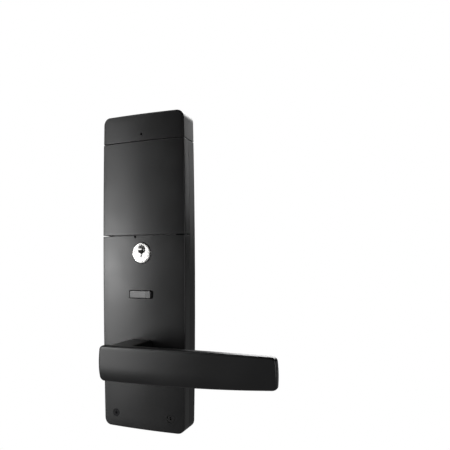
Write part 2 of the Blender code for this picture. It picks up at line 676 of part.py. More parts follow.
def blade_point(front):
    def point(u, v):
        t = (u + 1) / 2
        above = BLADE_TOP + BLADE_TOP_RISE * (1 - u * u)
        below = BLADE_BOTTOM - BLADE_TAPER * t - BLADE_SWEEP * t**3
        bulge = BLADE_END_BULGE * (1 - v * v) * u * abs(u) ** 5
        x = BLADE_LEFT + (BLADE_RIGHT - BLADE_LEFT) * t + bulge
        z = LEVER_Z + (above if v > 0 else below) * v + (0 if v else (above - below) / 2)
        thick = BLADE_THICK + (BLADE_END_THICK - BLADE_THICK) * u * u
        out = BLADE_OUT - BLADE_BOW * u * u - (0 if front else thick)
        return (x, -out, z)

    return point


blade_bm = slab(12, 2, blade_point(True), blade_point(False), BLADE_CORNER, BLADE_EDGE, BLADE_EDGE)
lever_handle = place(blade_bm, "lever_handle", black_cast, lever_axis.location, lever_axis)
neck_z = (LEVER_Z - NECK_HEIGHT / 2, LEVER_Z + NECK_HEIGHT / 2)
neck_back = FRONT_OUT + NECK_STANDOFF
neck_front = BLADE_OUT - BLADE_BOW - BLADE_THICK / 2
neck_out = (neck_back, neck_front)
neck_bm = rounded_box((NECK_LEFT, NECK_RIGHT), neck_out, neck_z, NECK_CORNER, steps=CORNER_STEPS)
join(lever_handle, neck_bm)
groove_back = BOSS_BACK_OUT + 0.8 * MM
groove_front = groove_back + CIRCLIP_THICK + 2 * GAP
groove_radius = BOSS_RADIUS - GROOVE_DEPTH
boss = [(BOSS_RADIUS, BOSS_BACK_OUT), (BOSS_RADIUS, groove_back), (groove_radius, groove_back)]
boss += [(groove_radius, groove_front), (BOSS_RADIUS, groove_front), (BOSS_RADIUS, neck_back + 3 * MM)]
join(lever_handle, turned(boss, 0, LEVER_Z))
socket = SPINDLE_SIDE / 2 + GAP
cut(lever_handle, box((-socket, socket), (0, SPINDLE_FRONT_OUT + GAP), (LEVER_Z - socket, LEVER_Z + socket)))
grub_end = LEVER_Z - socket - 0.2 * MM
grub_bore = [(GRUB_RADIUS + GAP, grub_end - 2 * NECK_HEIGHT), (GRUB_RADIUS + GAP, grub_end + 1 * MM)]
cut(lever_handle, turned(grub_bore, 0, 0, SMALL_ROUND, "Z", GRUB_OUT))

half_side = SPINDLE_SIDE / 2
spindle_z = (LEVER_Z - half_side, LEVER_Z + half_side)
spindle_bm = box((-half_side, half_side), (-SPINDLE_BEHIND, SPINDLE_FRONT_OUT), spindle_z)
bmesh.ops.bevel(spindle_bm, geom=list(spindle_bm.edges), offset=0.6 * MM, segments=1, affect="EDGES")
place(spindle_bm, "spindle", zinc_steel, lever_axis.location, lever_axis)
grub_top = LEVER_Z - half_side - GAP
grub_side = [(GRUB_RADIUS, grub_top - GRUB_LENGTH), (GRUB_RADIUS, grub_top)]
grub = turned(grub_side, 0, 0, SMALL_ROUND, "Z", GRUB_OUT)
lever_grub_screw = place(grub, "lever_grub_screw", black_steel, lever_axis.location, lever_axis)
hex_socket = [(1.4 * MM, -GRUB_LENGTH), (1.4 * MM, 2.5 * MM)]
cut(lever_grub_screw, turned(hex_socket, 0, grub_top - GRUB_LENGTH, 6, "Z", GRUB_OUT))

# Bush in the lower cover, and the circlip behind it
bush_front = FRONT_OUT + 0.2 * MM
flange_front = INNER_OUT - GAP
flange_back = groove_front + GAP
bush_bore = BOSS_RADIUS + GAP
bush = [(bush_bore, flange_back), (BUSH_FLANGE_RADIUS, flange_back), (BUSH_FLANGE_RADIUS, flange_front)]
bush += [(BUSH_RADIUS, flange_front), (BUSH_RADIUS, bush_front), (bush_bore, bush_front)]
place(turned(bush, 0, LEVER_Z, hollow=True), "lever_bush", nylon)
clip_inner = groove_radius + GAP
clip_back = groove_back + GAP
circlip_bm = ring(clip_inner, clip_inner + CIRCLIP_WIDTH, clip_back, clip_back + CIRCLIP_THICK, 0, LEVER_Z)
circlip = place(circlip_bm, "circlip", spring_steel, lever_axis.location, lever_axis)
cut(circlip, box((-2 * MM, 2 * MM), (0, tall), (LEVER_Z - 2 * BOSS_RADIUS, LEVER_Z)))

# Spring cassette: cup on the mounting plate, hub disc on the spindle, return spring between them
cup_back = floor_back
cup_bm = turned(
    [
        (HUB_COLLAR_RADIUS + 2 * GAP, cup_back),
        (CUP_RADIUS, cup_back),
        (CUP_RADIUS, CUP_RIM_OUT),
        (CUP_RADIUS - CUP_WALL, CUP_RIM_OUT),
        (CUP_RADIUS - CUP_WALL, cup_back + CUP_WALL),
        (HUB_COLLAR_RADIUS + 2 * GAP, cup_back + CUP_WALL),
    ],
    0,
    LEVER_Z,
    2 * ROUND,
    hollow=True,
)
spring_cup = place(cup_bm, "spring_cup", dark_plastic)
ear_back = floor_front + GAP
for name, sign in sides.items():
    ear_x = sorted((sign * (CUP_RADIUS - CUP_WALL / 2), sign * (CUP_EAR_X + 3.6 * MM)))
    join(spring_cup, box(ear_x, (ear_back, ear_back + 2 * MM), (LEVER_Z - 4 * MM, LEVER_Z + 4 * MM)))
    cut(spring_cup, rod(SCREW_SHANK + GAP, 0, tall, sign * CUP_EAR_X, LEVER_Z, SMALL_ROUND))
    cup_screw = (sign * CUP_EAR_X, LEVER_Z, ear_back + 2 * MM + GAP, 1.6 * MM, 2.8 * MM, floor_back)
    screw_piece(f"spring_cup_screw_{name}", zinc_steel, *cup_screw)
lug_radius = HUB_RADIUS - LUG_WIDTH / 2
lug_back = HUB_OUT - HUB_THICK - LUG_LENGTH
lug_foot = lug_radius - LUG_WIDTH / 2
lug_half_turn = math.atan(LUG_WIDTH / 2 / lug_foot) + math.atan(STOP_WIDTH / 2 / lug_foot) + STOP_PLAY
stop_x = (lug_foot, CUP_RADIUS - CUP_WALL / 2)
stop_out = (cup_back + CUP_WALL / 2, HUB_OUT - HUB_THICK - GAP)
for angle in (math.pi / 2 + lug_half_turn, math.pi / 2 - LEVER_TURN - lug_half_turn):
    stop = box(stop_x, stop_out, (-STOP_WIDTH / 2, STOP_WIDTH / 2))
    stop.transform(Matrix.Translation((0, 0, LEVER_Z)) @ Matrix.Rotation(-angle, 4, "Y"))
    join(spring_cup, stop)
hub_bm = rod(HUB_RADIUS, HUB_OUT - HUB_THICK, HUB_OUT, 0, LEVER_Z, ROUND)
hub_disc = place(hub_bm, "hub_disc", zinc_steel, lever_axis.location, lever_axis)
join(hub_disc, rod(HUB_COLLAR_RADIUS, floor_back + GAP, HUB_OUT + 0.6 * MM, 0, LEVER_Z, ROUND))
lug_z = (LEVER_Z + lug_radius - LUG_WIDTH / 2, LEVER_Z + lug_radius + LUG_WIDTH / 2 - 0.4 * MM)
join(hub_disc, box((-LUG_WIDTH / 2, LUG_WIDTH / 2), (lug_back, HUB_OUT - HUB_THICK / 2), lug_z))
cut(hub_disc, box((-socket, socket), (-tall, tall), (LEVER_Z - socket, LEVER_Z + socket)))
coil_pitch = 2 * RETURN_WIRE_RADIUS + GAP / 2
coil_start = cup_back + CUP_WALL + RETURN_WIRE_RADIUS + GAP
coil_size = (RETURN_COIL_RADIUS, RETURN_COIL_RADIUS, RETURN_WIRE_RADIUS, RETURN_TURNS)
place(coil(*coil_size, coil_start, coil_pitch, 0, LEVER_Z, 18), "return_spring", spring_steel)

# Snib rocker: its ends are round about the pin, so its gaps stay the same as it rocks
snib_axis = pivot_empty("snib_axis", (SNIB_X, -snib_axis_out, SNIB_Z))
snib_reach = SNIB_LENGTH / 2
end_angle = math.acos(min(1, SNIB_FACE / math.hypot(snib_reach, SNIB_FACE)))
end_radius = math.hypot(snib_reach, SNIB_FACE)
low_angle = math.asin(SNIB_BELOW / end_radius)
outline = []
for side in (1, -1):
    arc = [math.pi / 2 - end_angle - (math.pi / 2 - end_angle + low_angle) * i / 4 for i in range(5)]
    points = [(side * end_radius * math.cos(a), -end_radius * math.sin(a), -SNIB_HEIGHT / 2) for a in arc]
    outline += points if side == 1 else points[::-1]
rocker_bm = extruded(outline, (0, 0, SNIB_HEIGHT))
rocker_bm.transform(Matrix.Translation(snib_axis.location) @ Matrix.Rotation(-SNIB_TILT, 4, "Z"))
snib_rocker = place(rocker_bm, "snib_rocker", black_plastic, snib_axis.location, snib_axis)
cut(snib_rocker, turned(pin_hole, SNIB_X, SNIB_Z, SMALL_ROUND, "Z", snib_axis_out))
pin_half = pin_reach - GAP
snib_pin = [(SNIB_PIN_RADIUS - GAP / 2, -pin_half), (SNIB_PIN_RADIUS - GAP / 2, pin_half)]
place(turned(snib_pin, SNIB_X, SNIB_Z, SMALL_ROUND, "Z", snib_axis_out), "snib_pin", spring_steel)

# Under the rocker: its switch on the floor, and the leaf spring that holds it in either place
switch_back = floor_front + GAP
switch_front = switch_back + 4.4 * MM
switch_z = (SNIB_Z - 3 * MM, SNIB_Z + 3 * MM)
switch_x = (SNIB_X - 6.4 * MM, SNIB_X + 6.4 * MM)
place(box(switch_x, (switch_back, switch_front), switch_z), "snib_switch", dark_plastic)
leaf_low = switch_front + GAP
leaf_high = snib_axis_out - SNIB_BELOW - 2.4 * MM
leaf_thick = 0.4 * MM
leaf_points = []
for offset in (0, leaf_thick):
    strip = []
    for i in range(11):
        along = -1 + 2 * i / 10
        rise = (leaf_high - leaf_low - leaf_thick) * (1 - abs(along))
        strip.append((SNIB_X + 6 * MM * along, -(leaf_low + rise + offset), SNIB_Z - 2 * MM))
    leaf_points += strip if offset == 0 else strip[::-1]
place(extruded(leaf_points, (0, 0, 4 * MM)), "snib_leaf_spring", spring_steel)

# Battery tray, cells side by side in turn, contact plates and springs
tray_bm = box((-tray_half, tray_half), (floor_back, floor_back + TRAY_RISE), (tray_bottom, tray_top))
battery_tray = place(tray_bm, "battery_tray", dark_plastic)
tray_floor = floor_back + TRAY_WALL
cell_bottom_z = tray_bottom + TRAY_WALL
cell_top_z = tray_top - TRAY_WALL
well_x = (-tray_half + TRAY_WALL, tray_half - TRAY_WALL)
cut(battery_tray, box(well_x, (tray_floor, tall), (cell_bottom_z, cell_top_z)))
for i in range(1, CELLS):
    rib_x = (i - CELLS / 2) * CELL_PITCH
    rib_z = (cell_bottom_z + 6 * MM, cell_top_z - 6 * MM)
    rib_span = (rib_x - TRAY_WALL / 2, rib_x + TRAY_WALL / 2)
    join(battery_tray, box(rib_span, (tray_floor - TRAY_WALL / 2, tray_floor + TRAY_RIB), rib_z))
cell_out = tray_floor + GAP + CELL_RADIUS
cell_x = [(i - (CELLS - 1) / 2) * CELL_PITCH for i in range(CELLS)]
for i, x in enumerate(cell_x):
    nub_up = i % 2 == 0
    side = 1 if nub_up else -1
    spring_end = cell_bottom_z if nub_up else cell_top_z
    flat_end = spring_end + side * (CONTACT + GAP + SPRING_ROOM + GAP)
    r, length, nub = CELL_RADIUS, CELL_LENGTH, CELL_NUB
    along = [(r - 0.6 * MM, 0), (r, 0.5 * MM), (r, length - 0.8 * MM), (r - 0.9 * MM, length)]
    along += [(2.7 * MM, length), (2.6 * MM, length + nub - 0.3 * MM)]
    profile = [(radius, side * distance) for radius, distance in along]
    place(turned(profile, x, flat_end, 20, "Z", cell_out), f"battery_{i + 1}", cell_wrap)
    spring_start = flat_end - side * GAP
    spring_bm = coil(2.6 * MM, 5.0 * MM, 0.35 * MM, 3.5, 0, (SPRING_ROOM - 0.9 * MM) / 3.5, 0, 0, 10, 5, "Z")
    if nub_up:
        spring_bm.transform(Matrix.Rotation(math.pi, 4, "X"))
    spring_bm.transform(Matrix.Translation((x, -cell_out, spring_start - side * 0.4 * MM)))
    place(spring_bm, f"contact_spring_{i + 1}", nickel)

contact_places = {
    "bottom_left": (cell_x[0], cell_x[1], False),
    "bottom_right": (cell_x[2], cell_x[3], False),
    "top_left": (cell_x[0], cell_x[0], True),
    "top_middle": (cell_x[1], cell_x[2], True),
    "top_right": (cell_x[3], cell_x[3], True),
}
contact_half = 5.4 * MM
for name, (first_x, last_x, at_top) in contact_places.items():
    low = cell_top_z - GAP / 2 - CONTACT if at_top else cell_bottom_z + GAP / 2
    span = (first_x - contact_half, last_x + contact_half)
    contact_out = (tray_floor + GAP, floor_back + TRAY_RISE - 1 * MM)
    place(box(span, contact_out, (low, low + CONTACT)), f"contact_{name}", nickel)

# Control board on its posts, with the buzzer behind the pinhole
board_z = (BOARD_CENTRE_Z - BOARD_HEIGHT / 2, BOARD_CENTRE_Z + BOARD_HEIGHT / 2)
board_front = BOARD_OUT + BOARD_THICK
board_x = (-BOARD_WIDTH / 2, BOARD_WIDTH / 2)
board_bm = rounded_box(board_x, (BOARD_OUT, board_front), board_z, 1.5 * MM, steps=2)
control_board = place(board_bm, "control_board", board_green)
chip_root = board_front - BOARD_THICK / 2
chips = {(-16, 112): (8, 8, 1.4), (15, 106): (10, 6, 1.6), (14, 117): (5, 5, 1.2), (-5, 104): (4, 3, 1.0)}
for (chip_x, chip_z), (chip_w, chip_h, chip_rise) in chips.items():
    x_span = ((chip_x - chip_w / 2) * MM, (chip_x + chip_w / 2) * MM)
    z_span = ((chip_z - chip_h / 2) * MM, (chip_z + chip_h / 2) * MM)
    join(control_board, box(x_span, (chip_root, board_front + chip_rise * MM), z_span))
for name, sign in sides.items():
    cut(control_board, rod(SMALL_SHANK + GAP, 0, tall, sign * BOARD_SCREW_X, BOARD_SCREW_Z, SMALL_ROUND))
    screw_at = (sign * BOARD_SCREW_X, BOARD_SCREW_Z)
    board_screw = (*screw_at, board_front + GAP, 1.4 * MM, 2.4 * MM, post_foot + GAP)
    screw_piece(f"board_screw_{name}", zinc_steel, *board_screw, shank=SMALL_SHANK)
buzzer_back = board_front + GAP
buzzer_port = 1.2 * MM
can = [(BUZZER_RADIUS, buzzer_back), (BUZZER_RADIUS, buzzer_back + BUZZER_RISE)]
can += [(buzzer_port, buzzer_back + BUZZER_RISE), (buzzer_port, buzzer_back + 1 * MM)]
place(turned(can, 0, PINHOLE_Z), "buzzer", dark_plastic)
socket_x = (-19 * MM, -7 * MM)
socket_z = (100 * MM, 105.5 * MM)
socket_bm = box(socket_x, (board_front + GAP, board_front + 5.6 * MM), socket_z)
harness_socket = place(socket_bm, "harness_socket", nylon)
pocket_x = (socket_x[0] + SOCKET_WALL, socket_x[1] - SOCKET_WALL)
pocket_z = (socket_z[0] + SOCKET_WALL, socket_z[1] - SOCKET_WALL)
cut(harness_socket, box(pocket_x, (board_front + 1.4 * MM, tall), pocket_z))

# Battery leads: up from the tray's end contacts, in a bow, to the foot of the board
for name, sign, material in (("positive", -1, lead_red), ("negative", 1, lead_black)):
    foot = Vector((sign * (cell_x[3] - 2 * MM), -(floor_back + TRAY_RISE - 2.5 * MM), tray_top + GAP))
    head = Vector((sign * 22.4 * MM, -(board_front + LEAD_RADIUS + GAP), board_z[0] + 2.2 * MM))
    bow = [foot, foot + Vector((0, 0, 2 * MM)), head + Vector((0, -2 * MM, -2.5 * MM)), head]
    curve = bpy.data.curves.new(f"battery_lead_{name}", "CURVE")
    curve.dimensions = "3D"
    curve.bevel_depth = LEAD_RADIUS
    curve.bevel_resolution = 2
    curve.use_fill_caps = True
    spline = curve.splines.new("POLY")
    steps = 9
    spline.points.add(steps)
    for i in range(steps + 1):
        t = i / steps
        weights = ((1 - t) ** 3, 3 * t * (1 - t) ** 2, 3 * t * t * (1 - t), t**3)
        at = sum((w * p for w, p in zip(weights, bow)), Vector())
        spline.points[i].co = (*at, 1)
    lead = bpy.data.objects.new(f"battery_lead_{name}", curve)
    curve.materials.append(material)
    bpy.context.scene.collection.objects.link(lead)
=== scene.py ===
"""The room-side unit of a keypad door lock: a tall black escutcheon with a lever, on a pale ground."""

import math

import bmesh
import bpy
from mathutils import Matrix, Vector


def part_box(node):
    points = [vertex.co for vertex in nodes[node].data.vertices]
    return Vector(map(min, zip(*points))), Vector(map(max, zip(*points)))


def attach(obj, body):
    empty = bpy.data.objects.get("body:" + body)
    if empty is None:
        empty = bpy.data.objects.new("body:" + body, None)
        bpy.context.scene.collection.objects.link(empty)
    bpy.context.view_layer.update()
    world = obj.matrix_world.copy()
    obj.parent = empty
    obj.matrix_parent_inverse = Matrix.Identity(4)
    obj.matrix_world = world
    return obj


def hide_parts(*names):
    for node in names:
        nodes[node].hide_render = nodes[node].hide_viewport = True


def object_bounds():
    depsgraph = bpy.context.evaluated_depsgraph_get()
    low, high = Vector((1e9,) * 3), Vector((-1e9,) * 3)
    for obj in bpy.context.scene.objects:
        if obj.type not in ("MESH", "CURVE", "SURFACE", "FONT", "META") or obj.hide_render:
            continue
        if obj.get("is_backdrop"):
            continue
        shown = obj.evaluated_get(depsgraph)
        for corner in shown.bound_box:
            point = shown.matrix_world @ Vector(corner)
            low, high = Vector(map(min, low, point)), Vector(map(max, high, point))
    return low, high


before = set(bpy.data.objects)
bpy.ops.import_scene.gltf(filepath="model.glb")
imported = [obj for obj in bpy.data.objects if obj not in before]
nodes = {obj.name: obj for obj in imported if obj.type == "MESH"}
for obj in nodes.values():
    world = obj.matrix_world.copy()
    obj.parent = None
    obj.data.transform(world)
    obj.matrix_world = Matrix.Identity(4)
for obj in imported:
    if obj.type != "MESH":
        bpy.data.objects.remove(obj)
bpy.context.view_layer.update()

# ---------------------------------------------------------------------------------------------------------
# The studio: a wide pale floor far below the lock, small soft windows on the left, and weaker fills from
# above, the right and behind.
# The camera stands to the right of the lock at the height of its middle, and looks level at it.
MM = 0.001

CAMERA_PLACE = Vector((202.3, -361.0, 8.3)) * MM
CAMERA_YAW = math.radians(20.64)
CAMERA_PITCH = math.radians(-0.08)
CAMERA_ROLL = math.radians(-0.23)
FOCAL_SHARE = 467.4 / 450
SENSOR = 36.0
LENS_SHIFT = 37 / 450
FLOOR_LEVEL = -0.42
FLOOR_SIDE = 60.0

camera_data = bpy.data.cameras.new("camera")
camera_data.sensor_width = SENSOR
camera_data.lens = FOCAL_SHARE * SENSOR
camera_data.shift_y = LENS_SHIFT
camera_data.clip_start = 0.01
camera = bpy.data.objects.new("camera", camera_data)
turn = Matrix.Rotation(CAMERA_YAW, 4, "Z") @ Matrix.Rotation(math.pi / 2 + CAMERA_PITCH, 4, "X")
camera.matrix_world = Matrix.Translation(CAMERA_PLACE) @ turn @ Matrix.Rotation(CAMERA_ROLL, 4, "Z")
bpy.context.scene.collection.objects.link(camera)
bpy.context.scene.camera = camera


def glow(tree, camera_tone, light_tone):
    """White to the eye, dimmer as a source of light."""
    path = tree.nodes.new("ShaderNodeLightPath")
    tone = tree.nodes.new("ShaderNodeMix")
    tone.data_type = "RGBA"
    tone.inputs["A"].default_value = (*light_tone, 1)
    tone.inputs["B"].default_value = (*camera_tone, 1)
    tree.links.new(path.outputs["Is Camera Ray"], tone.inputs["Factor"])
    return tone.outputs["Result"]


WHITE = (1.0, 1.0, 1.0)
WORLD_LIGHT = (0.005, 0.005, 0.005)
FLOOR_LIGHT = (0.2, 0.2, 0.2)

world = bpy.data.worlds.new("studio")
bpy.context.scene.world = world
world.use_nodes = True
background = world.node_tree.nodes["Background"]
world.node_tree.links.new(glow(world.node_tree, WHITE, WORLD_LIGHT), background.inputs["Color"])
bpy.context.scene.view_settings.view_transform = "Standard"

bpy.ops.object.select_all(action="DESELECT")
bpy.ops.mesh.primitive_plane_add(size=FLOOR_SIDE, location=(0, 0, FLOOR_LEVEL))
floor = bpy.context.object
floor.name = "floor"
floor_paint = bpy.data.materials.new("floor_paint")
floor_paint.use_nodes = True
paint_tree = floor_paint.node_tree
paint_tree.nodes.remove(paint_tree.nodes["Principled BSDF"])
shine = paint_tree.nodes.new("ShaderNodeEmission")
paint_tree.links.new(glow(paint_tree, WHITE, FLOOR_LIGHT), shine.inputs["Color"])
paint_tree.links.new(shine.outputs["Emission"], paint_tree.nodes["Material Output"].inputs["Surface"])
floor.data.materials.append(floor_paint)
floor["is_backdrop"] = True


LIGHT_DISTANCE = 1.3


def window(name, azimuth, elevation, width, height, watts):
    """A soft rectangular light round the lock: azimuth is to the right of straight ahead, in degrees."""
    data = bpy.data.lights.new(name, "AREA")
    data.shape = "RECTANGLE"
    data.size = width
    data.size_y = height
    data.energy = watts
    lamp = bpy.data.objects.new(name, data)
    level = math.cos(math.radians(elevation))
    across, ahead = math.sin(math.radians(azimuth)), math.cos(math.radians(azimuth))
    lamp.location = LIGHT_DISTANCE * Vector(
        (across * level, -ahead * level, math.sin(math.radians(elevation)))
    )
    lamp.rotation_euler = (-lamp.location).to_track_quat("-Z", "Y").to_euler()
    bpy.context.scene.collection.objects.link(lamp)


LEFT_WINDOW = (0.22, 0.3)

window("left_middle", -42, 0, *LEFT_WINDOW, 3.9)
window("left_upper", -42, 15, *LEFT_WINDOW, 1.1)
window("left_lower", -42, -15, *LEFT_WINDOW, 0.7)
window("front_lower", -34, -15, *LEFT_WINDOW, 0.4)
window("high_left", -50, 45, 0.7, 0.7, 2.0)
window("right_edge", 60, 0, 0.5, 0.7, 2.5)
window("back_fill", 180, 25, 0.8, 0.8, 9.0)

# ---------------------------------------------------------------------------------------------------------
# The escutcheon's shells. Top cap and battery cover are moulded in black plastic and share the crowned,
# slightly waisted shape of the long lower cover, which is a zinc casting with a black powder coat.
TALL = 264 * MM
END_WIDTH = 75.7 * MM
SIDE_BOW = 1.4 * MM
EDGE_DEPTH = 19.5 * MM
CROWN = 1.5 * MM
FRONT = EDGE_DEPTH + CROWN
CORNER = 6 * MM
RIM = 1.25 * MM
CAP_RIM = 1.6 * MM
SHELL = 2.0 * MM
INSIDE = FRONT - SHELL
SIDE_SEAM = 10.5 * MM
CAP_SEAM = 109.0 * MM
COVER_SEAM = 30.4 * MM
CAP_GAP = 0.6 * MM
COVER_GAP = 0.8 * MM
SEAM_EASE = 0.3 * MM
FINE = 0.3 * MM
ROUNDING = 2e-6
SKIN_DEEP = 1e-5
CROWN_CUTS, LENGTH_CUTS, CORNER_STEPS = 16, 30, 8


def deselect():
    if bpy.context.object and bpy.context.object.mode == "EDIT":
        bpy.ops.object.mode_set(mode="OBJECT")
    bpy.ops.object.select_all(action="DESELECT")


def activate(piece):
    """Selects one piece only, the one that operators then act on."""
    deselect()
    piece.select_set(True)
    bpy.context.view_layer.objects.active = piece


def put(piece, place, turned_by=(0, 0, 0)):
    """Turns and moves a mesh, with its object left at the origin."""
    activate(piece)
    piece.rotation_euler = turned_by
    piece.location = place
    bpy.ops.object.transform_apply(location=True, rotation=True, scale=True)
    return piece


def named(name):
    """The primitive just added, placed by its mesh and given its name."""
    piece = bpy.context.object
    piece.name = name
    piece.data.name = name
    bpy.ops.object.transform_apply(location=True, rotation=True, scale=True)
    return piece


def block(name, low, high):
    deselect()
    low, high = Vector(low), Vector(high)
    bpy.ops.mesh.primitive_cube_add(size=1, location=(low + high) / 2, scale=high - low)
    return named(name)


def edit(piece, select="SELECT"):
    activate(piece)
    bpy.ops.object.mode_set(mode="EDIT")
    bpy.ops.mesh.select_mode(type="VERT")
    bpy.ops.mesh.select_all(action=select)


def pick(piece, kind, test):
    """In edit mode, selects the vertices, edges or faces that pass a test, and returns how many there are."""
    bpy.ops.mesh.select_mode(type=kind)
    bpy.ops.mesh.select_all(action="DESELECT")
    shape = bmesh.from_edit_mesh(piece.data)
    shape.normal_update()
    parts = {"VERT": shape.verts, "EDGE": shape.edges, "FACE": shape.faces}[kind]
    chosen = [part for part in parts if test(part)]
    for part in chosen:
        part.select_set(True)
    shape.select_flush_mode()
    bmesh.update_edit_mesh(piece.data)
    return len(chosen)


def slice_along(axis, places):
    """Cuts a ring of edges round the piece in hand at each place along an axis."""
    for place in places:
        bpy.ops.mesh.select_all(action="SELECT")
        point, normal = Vector((0, 0, 0)), Vector((0, 0, 0))
        point["XYZ".index(axis)], normal["XYZ".index(axis)] = place, 1
        bpy.ops.mesh.bisect(plane_co=point, plane_no=normal)


def levels(piece, axis, test):
    """The distinct places along an axis of the vertices that pass a test."""
    shape = bmesh.from_edit_mesh(piece.data)
    return sorted({round(v.co["XYZ".index(axis)], 6) for v in shape.verts if test(v)})


def spread(low, high, count):
    return [low + (high - low) * i / count for i in range(count + 1)]


def round_edges(piece, test, offset, segments=3):
    pick(piece, "EDGE", test)
    bpy.ops.mesh.bevel(offset=offset, segments=segments, profile=0.5, affect="EDGES")


def along(axis):
    """Tells whether an edge runs along an axis."""
    index = "XYZ".index(axis)
    return lambda e: abs((e.verts[0].co - e.verts[1].co).normalized()[index]) > 0.9


def rim_of(facing):
    """Tells whether an edge bounds the faces that look along +1 or -1 of Y."""
    return lambda e: sorted(facing * f.normal.y > 0.8 for f in e.link_faces) == [False, True]


def finish(piece, angle=35):
    """Smooth shading that keeps the flats flat and the edges crisp."""
    activate(piece)
    bpy.ops.object.shade_smooth_by_angle(angle=math.radians(angle))
    bpy.ops.object.modifier_add(type="WEIGHTED_NORMAL")
    piece.modifiers[-1].keep_sharp = True
    bpy.ops.object.modifier_apply(modifier=piece.modifiers[-1].name)
    return piece


def combine(piece, tool, operation="DIFFERENCE"):
    """Cuts a tool from a piece, or joins it on, and throws the tool away."""
    activate(piece)
    bpy.ops.object.modifier_add(type="BOOLEAN")
    step = piece.modifiers[-1]
    step.operation = operation
    step.object = tool
    bpy.ops.object.modifier_apply(modifier=step.name)
    mesh = tool.data
    bpy.data.objects.remove(tool)
    bpy.data.meshes.remove(mesh)


def turned(name, profile, x=0.0, z=0.0, steps=48, hollow=False, upright=False, out=0.0):
    """A lathe shape. Each point of the profile is a radius and a distance out from the door, or a height."""
    deselect()
    radius, start = profile[0]
    place, tilt = ((x, -out, start), 0) if upright else ((x, -start, z), math.pi / 2)
    bpy.ops.mesh.primitive_circle_add(vertices=steps, radius=radius, location=place, rotation=(tilt, 0, 0))
    piece = named(name)
    edit(piece)
    for (before, low), (after, high) in zip(profile, profile[1:]):
        bpy.ops.mesh.extrude_region()
        step, scale = high - low, after / before
        bpy.ops.transform.translate(value=(0, 0, step) if upright else (0, -step, 0))
        stretch = (scale, scale, 1) if upright else (scale, 1, scale)
        bpy.ops.transform.resize(value=stretch, center_override=(x, -out if upright else 0, z))
    if hollow:
        pick(piece, "EDGE", lambda e: e.is_boundary)
        bpy.ops.mesh.bridge_edge_loops()
    else:
        bpy.ops.mesh.edge_face_add()
        pick(piece, "EDGE", lambda e: e.is_boundary)
        bpy.ops.mesh.edge_face_add()
    bpy.ops.mesh.select_all(action="SELECT")
    bpy.ops.mesh.normals_make_consistent(inside=False)
    deselect()
    return piece


def waist(z):
    return END_WIDTH / 2 + SIDE_BOW * (1 - (2 * z / TALL) ** 2)


def crown(x):
    return CROWN * max(0.0, 1 - (2 * x / END_WIDTH) ** 2)


def crowned_block(name, inset, back, rim, low=-TALL, high=TALL):
    """The escutcheon's shape, moved in by an inset, from its front to a back plane, between two heights."""
    half, tall, front = END_WIDTH / 2 - inset, TALL / 2 - inset, EDGE_DEPTH - inset
    corner = CORNER - inset
    piece = block(name, (-half, -front, -tall), (half, -back, tall))
    edit(piece)
    round_edges(piece, along("Y"), corner, CORNER_STEPS)
    inner = half - corner - 1 * MM
    slice_along("X", spread(-inner, inner, CROWN_CUTS))
    inner = tall - corner - 1 * MM
    slice_along("Z", spread(-inner, inner, LENGTH_CUTS))
    for x in levels(piece, "X", lambda v: v.co.y < -front + SKIN_DEEP):
        if crown(x) > 0:
            pick(piece, "VERT", lambda v: abs(v.co.x - x) < ROUNDING and v.co.y < -front + SKIN_DEEP)
            bpy.ops.transform.translate(value=(0, -crown(x), 0))
    for z in levels(piece, "Z", lambda v: True):
        wider = (waist(z) - inset) / half
        pick(piece, "VERT", lambda v: abs(v.co.z - z) < ROUNDING)
        bpy.ops.transform.resize(value=(wider, 1, 1), center_override=(0, 0, 0))
    if rim:
        round_edges(piece, rim_of(-1), rim)
    for height, side in ((low, -1), (high, 1)):
        if abs(height) < TALL / 2:
            bpy.ops.mesh.select_all(action="SELECT")
            cuts = {"clear_outer": side > 0, "clear_inner": side < 0}
            bpy.ops.mesh.bisect(plane_co=(0, 0, height), plane_no=(0, 0, 1), use_fill=True, **cuts)
            pick(
                piece, "FACE",
                lambda f: abs(f.normal.z) > 0.99 and abs(f.calc_center_median().z - height) < SKIN_DEEP,
            )
            bpy.ops.mesh.region_to_loop()
            bpy.ops.mesh.bevel(offset=SEAM_EASE, segments=2, profile=0.5, affect="EDGES")
    deselect()
    return piece


def shell(name, back, rim, low=-TALL, high=TALL):
    piece = crowned_block(name, 0, back, rim, low, high)
    behind = -2 * EDGE_DEPTH if back == 0 else 0
    combine(piece, crowned_block(name + "_hollow", SHELL, behind, 0))
    return piece


PINHOLE = 114.5 * MM
PINHOLE_RADIUS = 0.8 * MM
TAB_X, TAB_HALF, TAB_OUT, TAB_THICK, TAB_SCREW = 30 * MM, 3.2 * MM, 14 * MM, 1.8 * MM, 104 * MM
TAB_HOLE = 1.8 * MM
HOOK_X, HOOK_WIDE, HOOK_DEEP = 13 * MM, 8 * MM, 2.6 * MM
HOOK_THICK, HOOK_FOOT, HOOK_RISE = 1.4 * MM, 3 * MM, 3 * MM
TONGUE_HALF, TONGUE_BACK, TONGUE_LIFT = 6 * MM, 14.5 * MM, 1.2 * MM

cap_foot = CAP_SEAM + CAP_GAP / 2
cover_top, cover_foot = CAP_SEAM - CAP_GAP / 2, COVER_SEAM + COVER_GAP / 2
lower_top = COVER_SEAM - COVER_GAP / 2

top_cap = shell("top_cap_shell", 0, CAP_RIM, low=cap_foot)
battery_cover = shell("battery_cover_shell", SIDE_SEAM, RIM, cover_foot, cover_top)
lower_cover = shell("lower_cover_shell", SIDE_SEAM, RIM, high=lower_top)

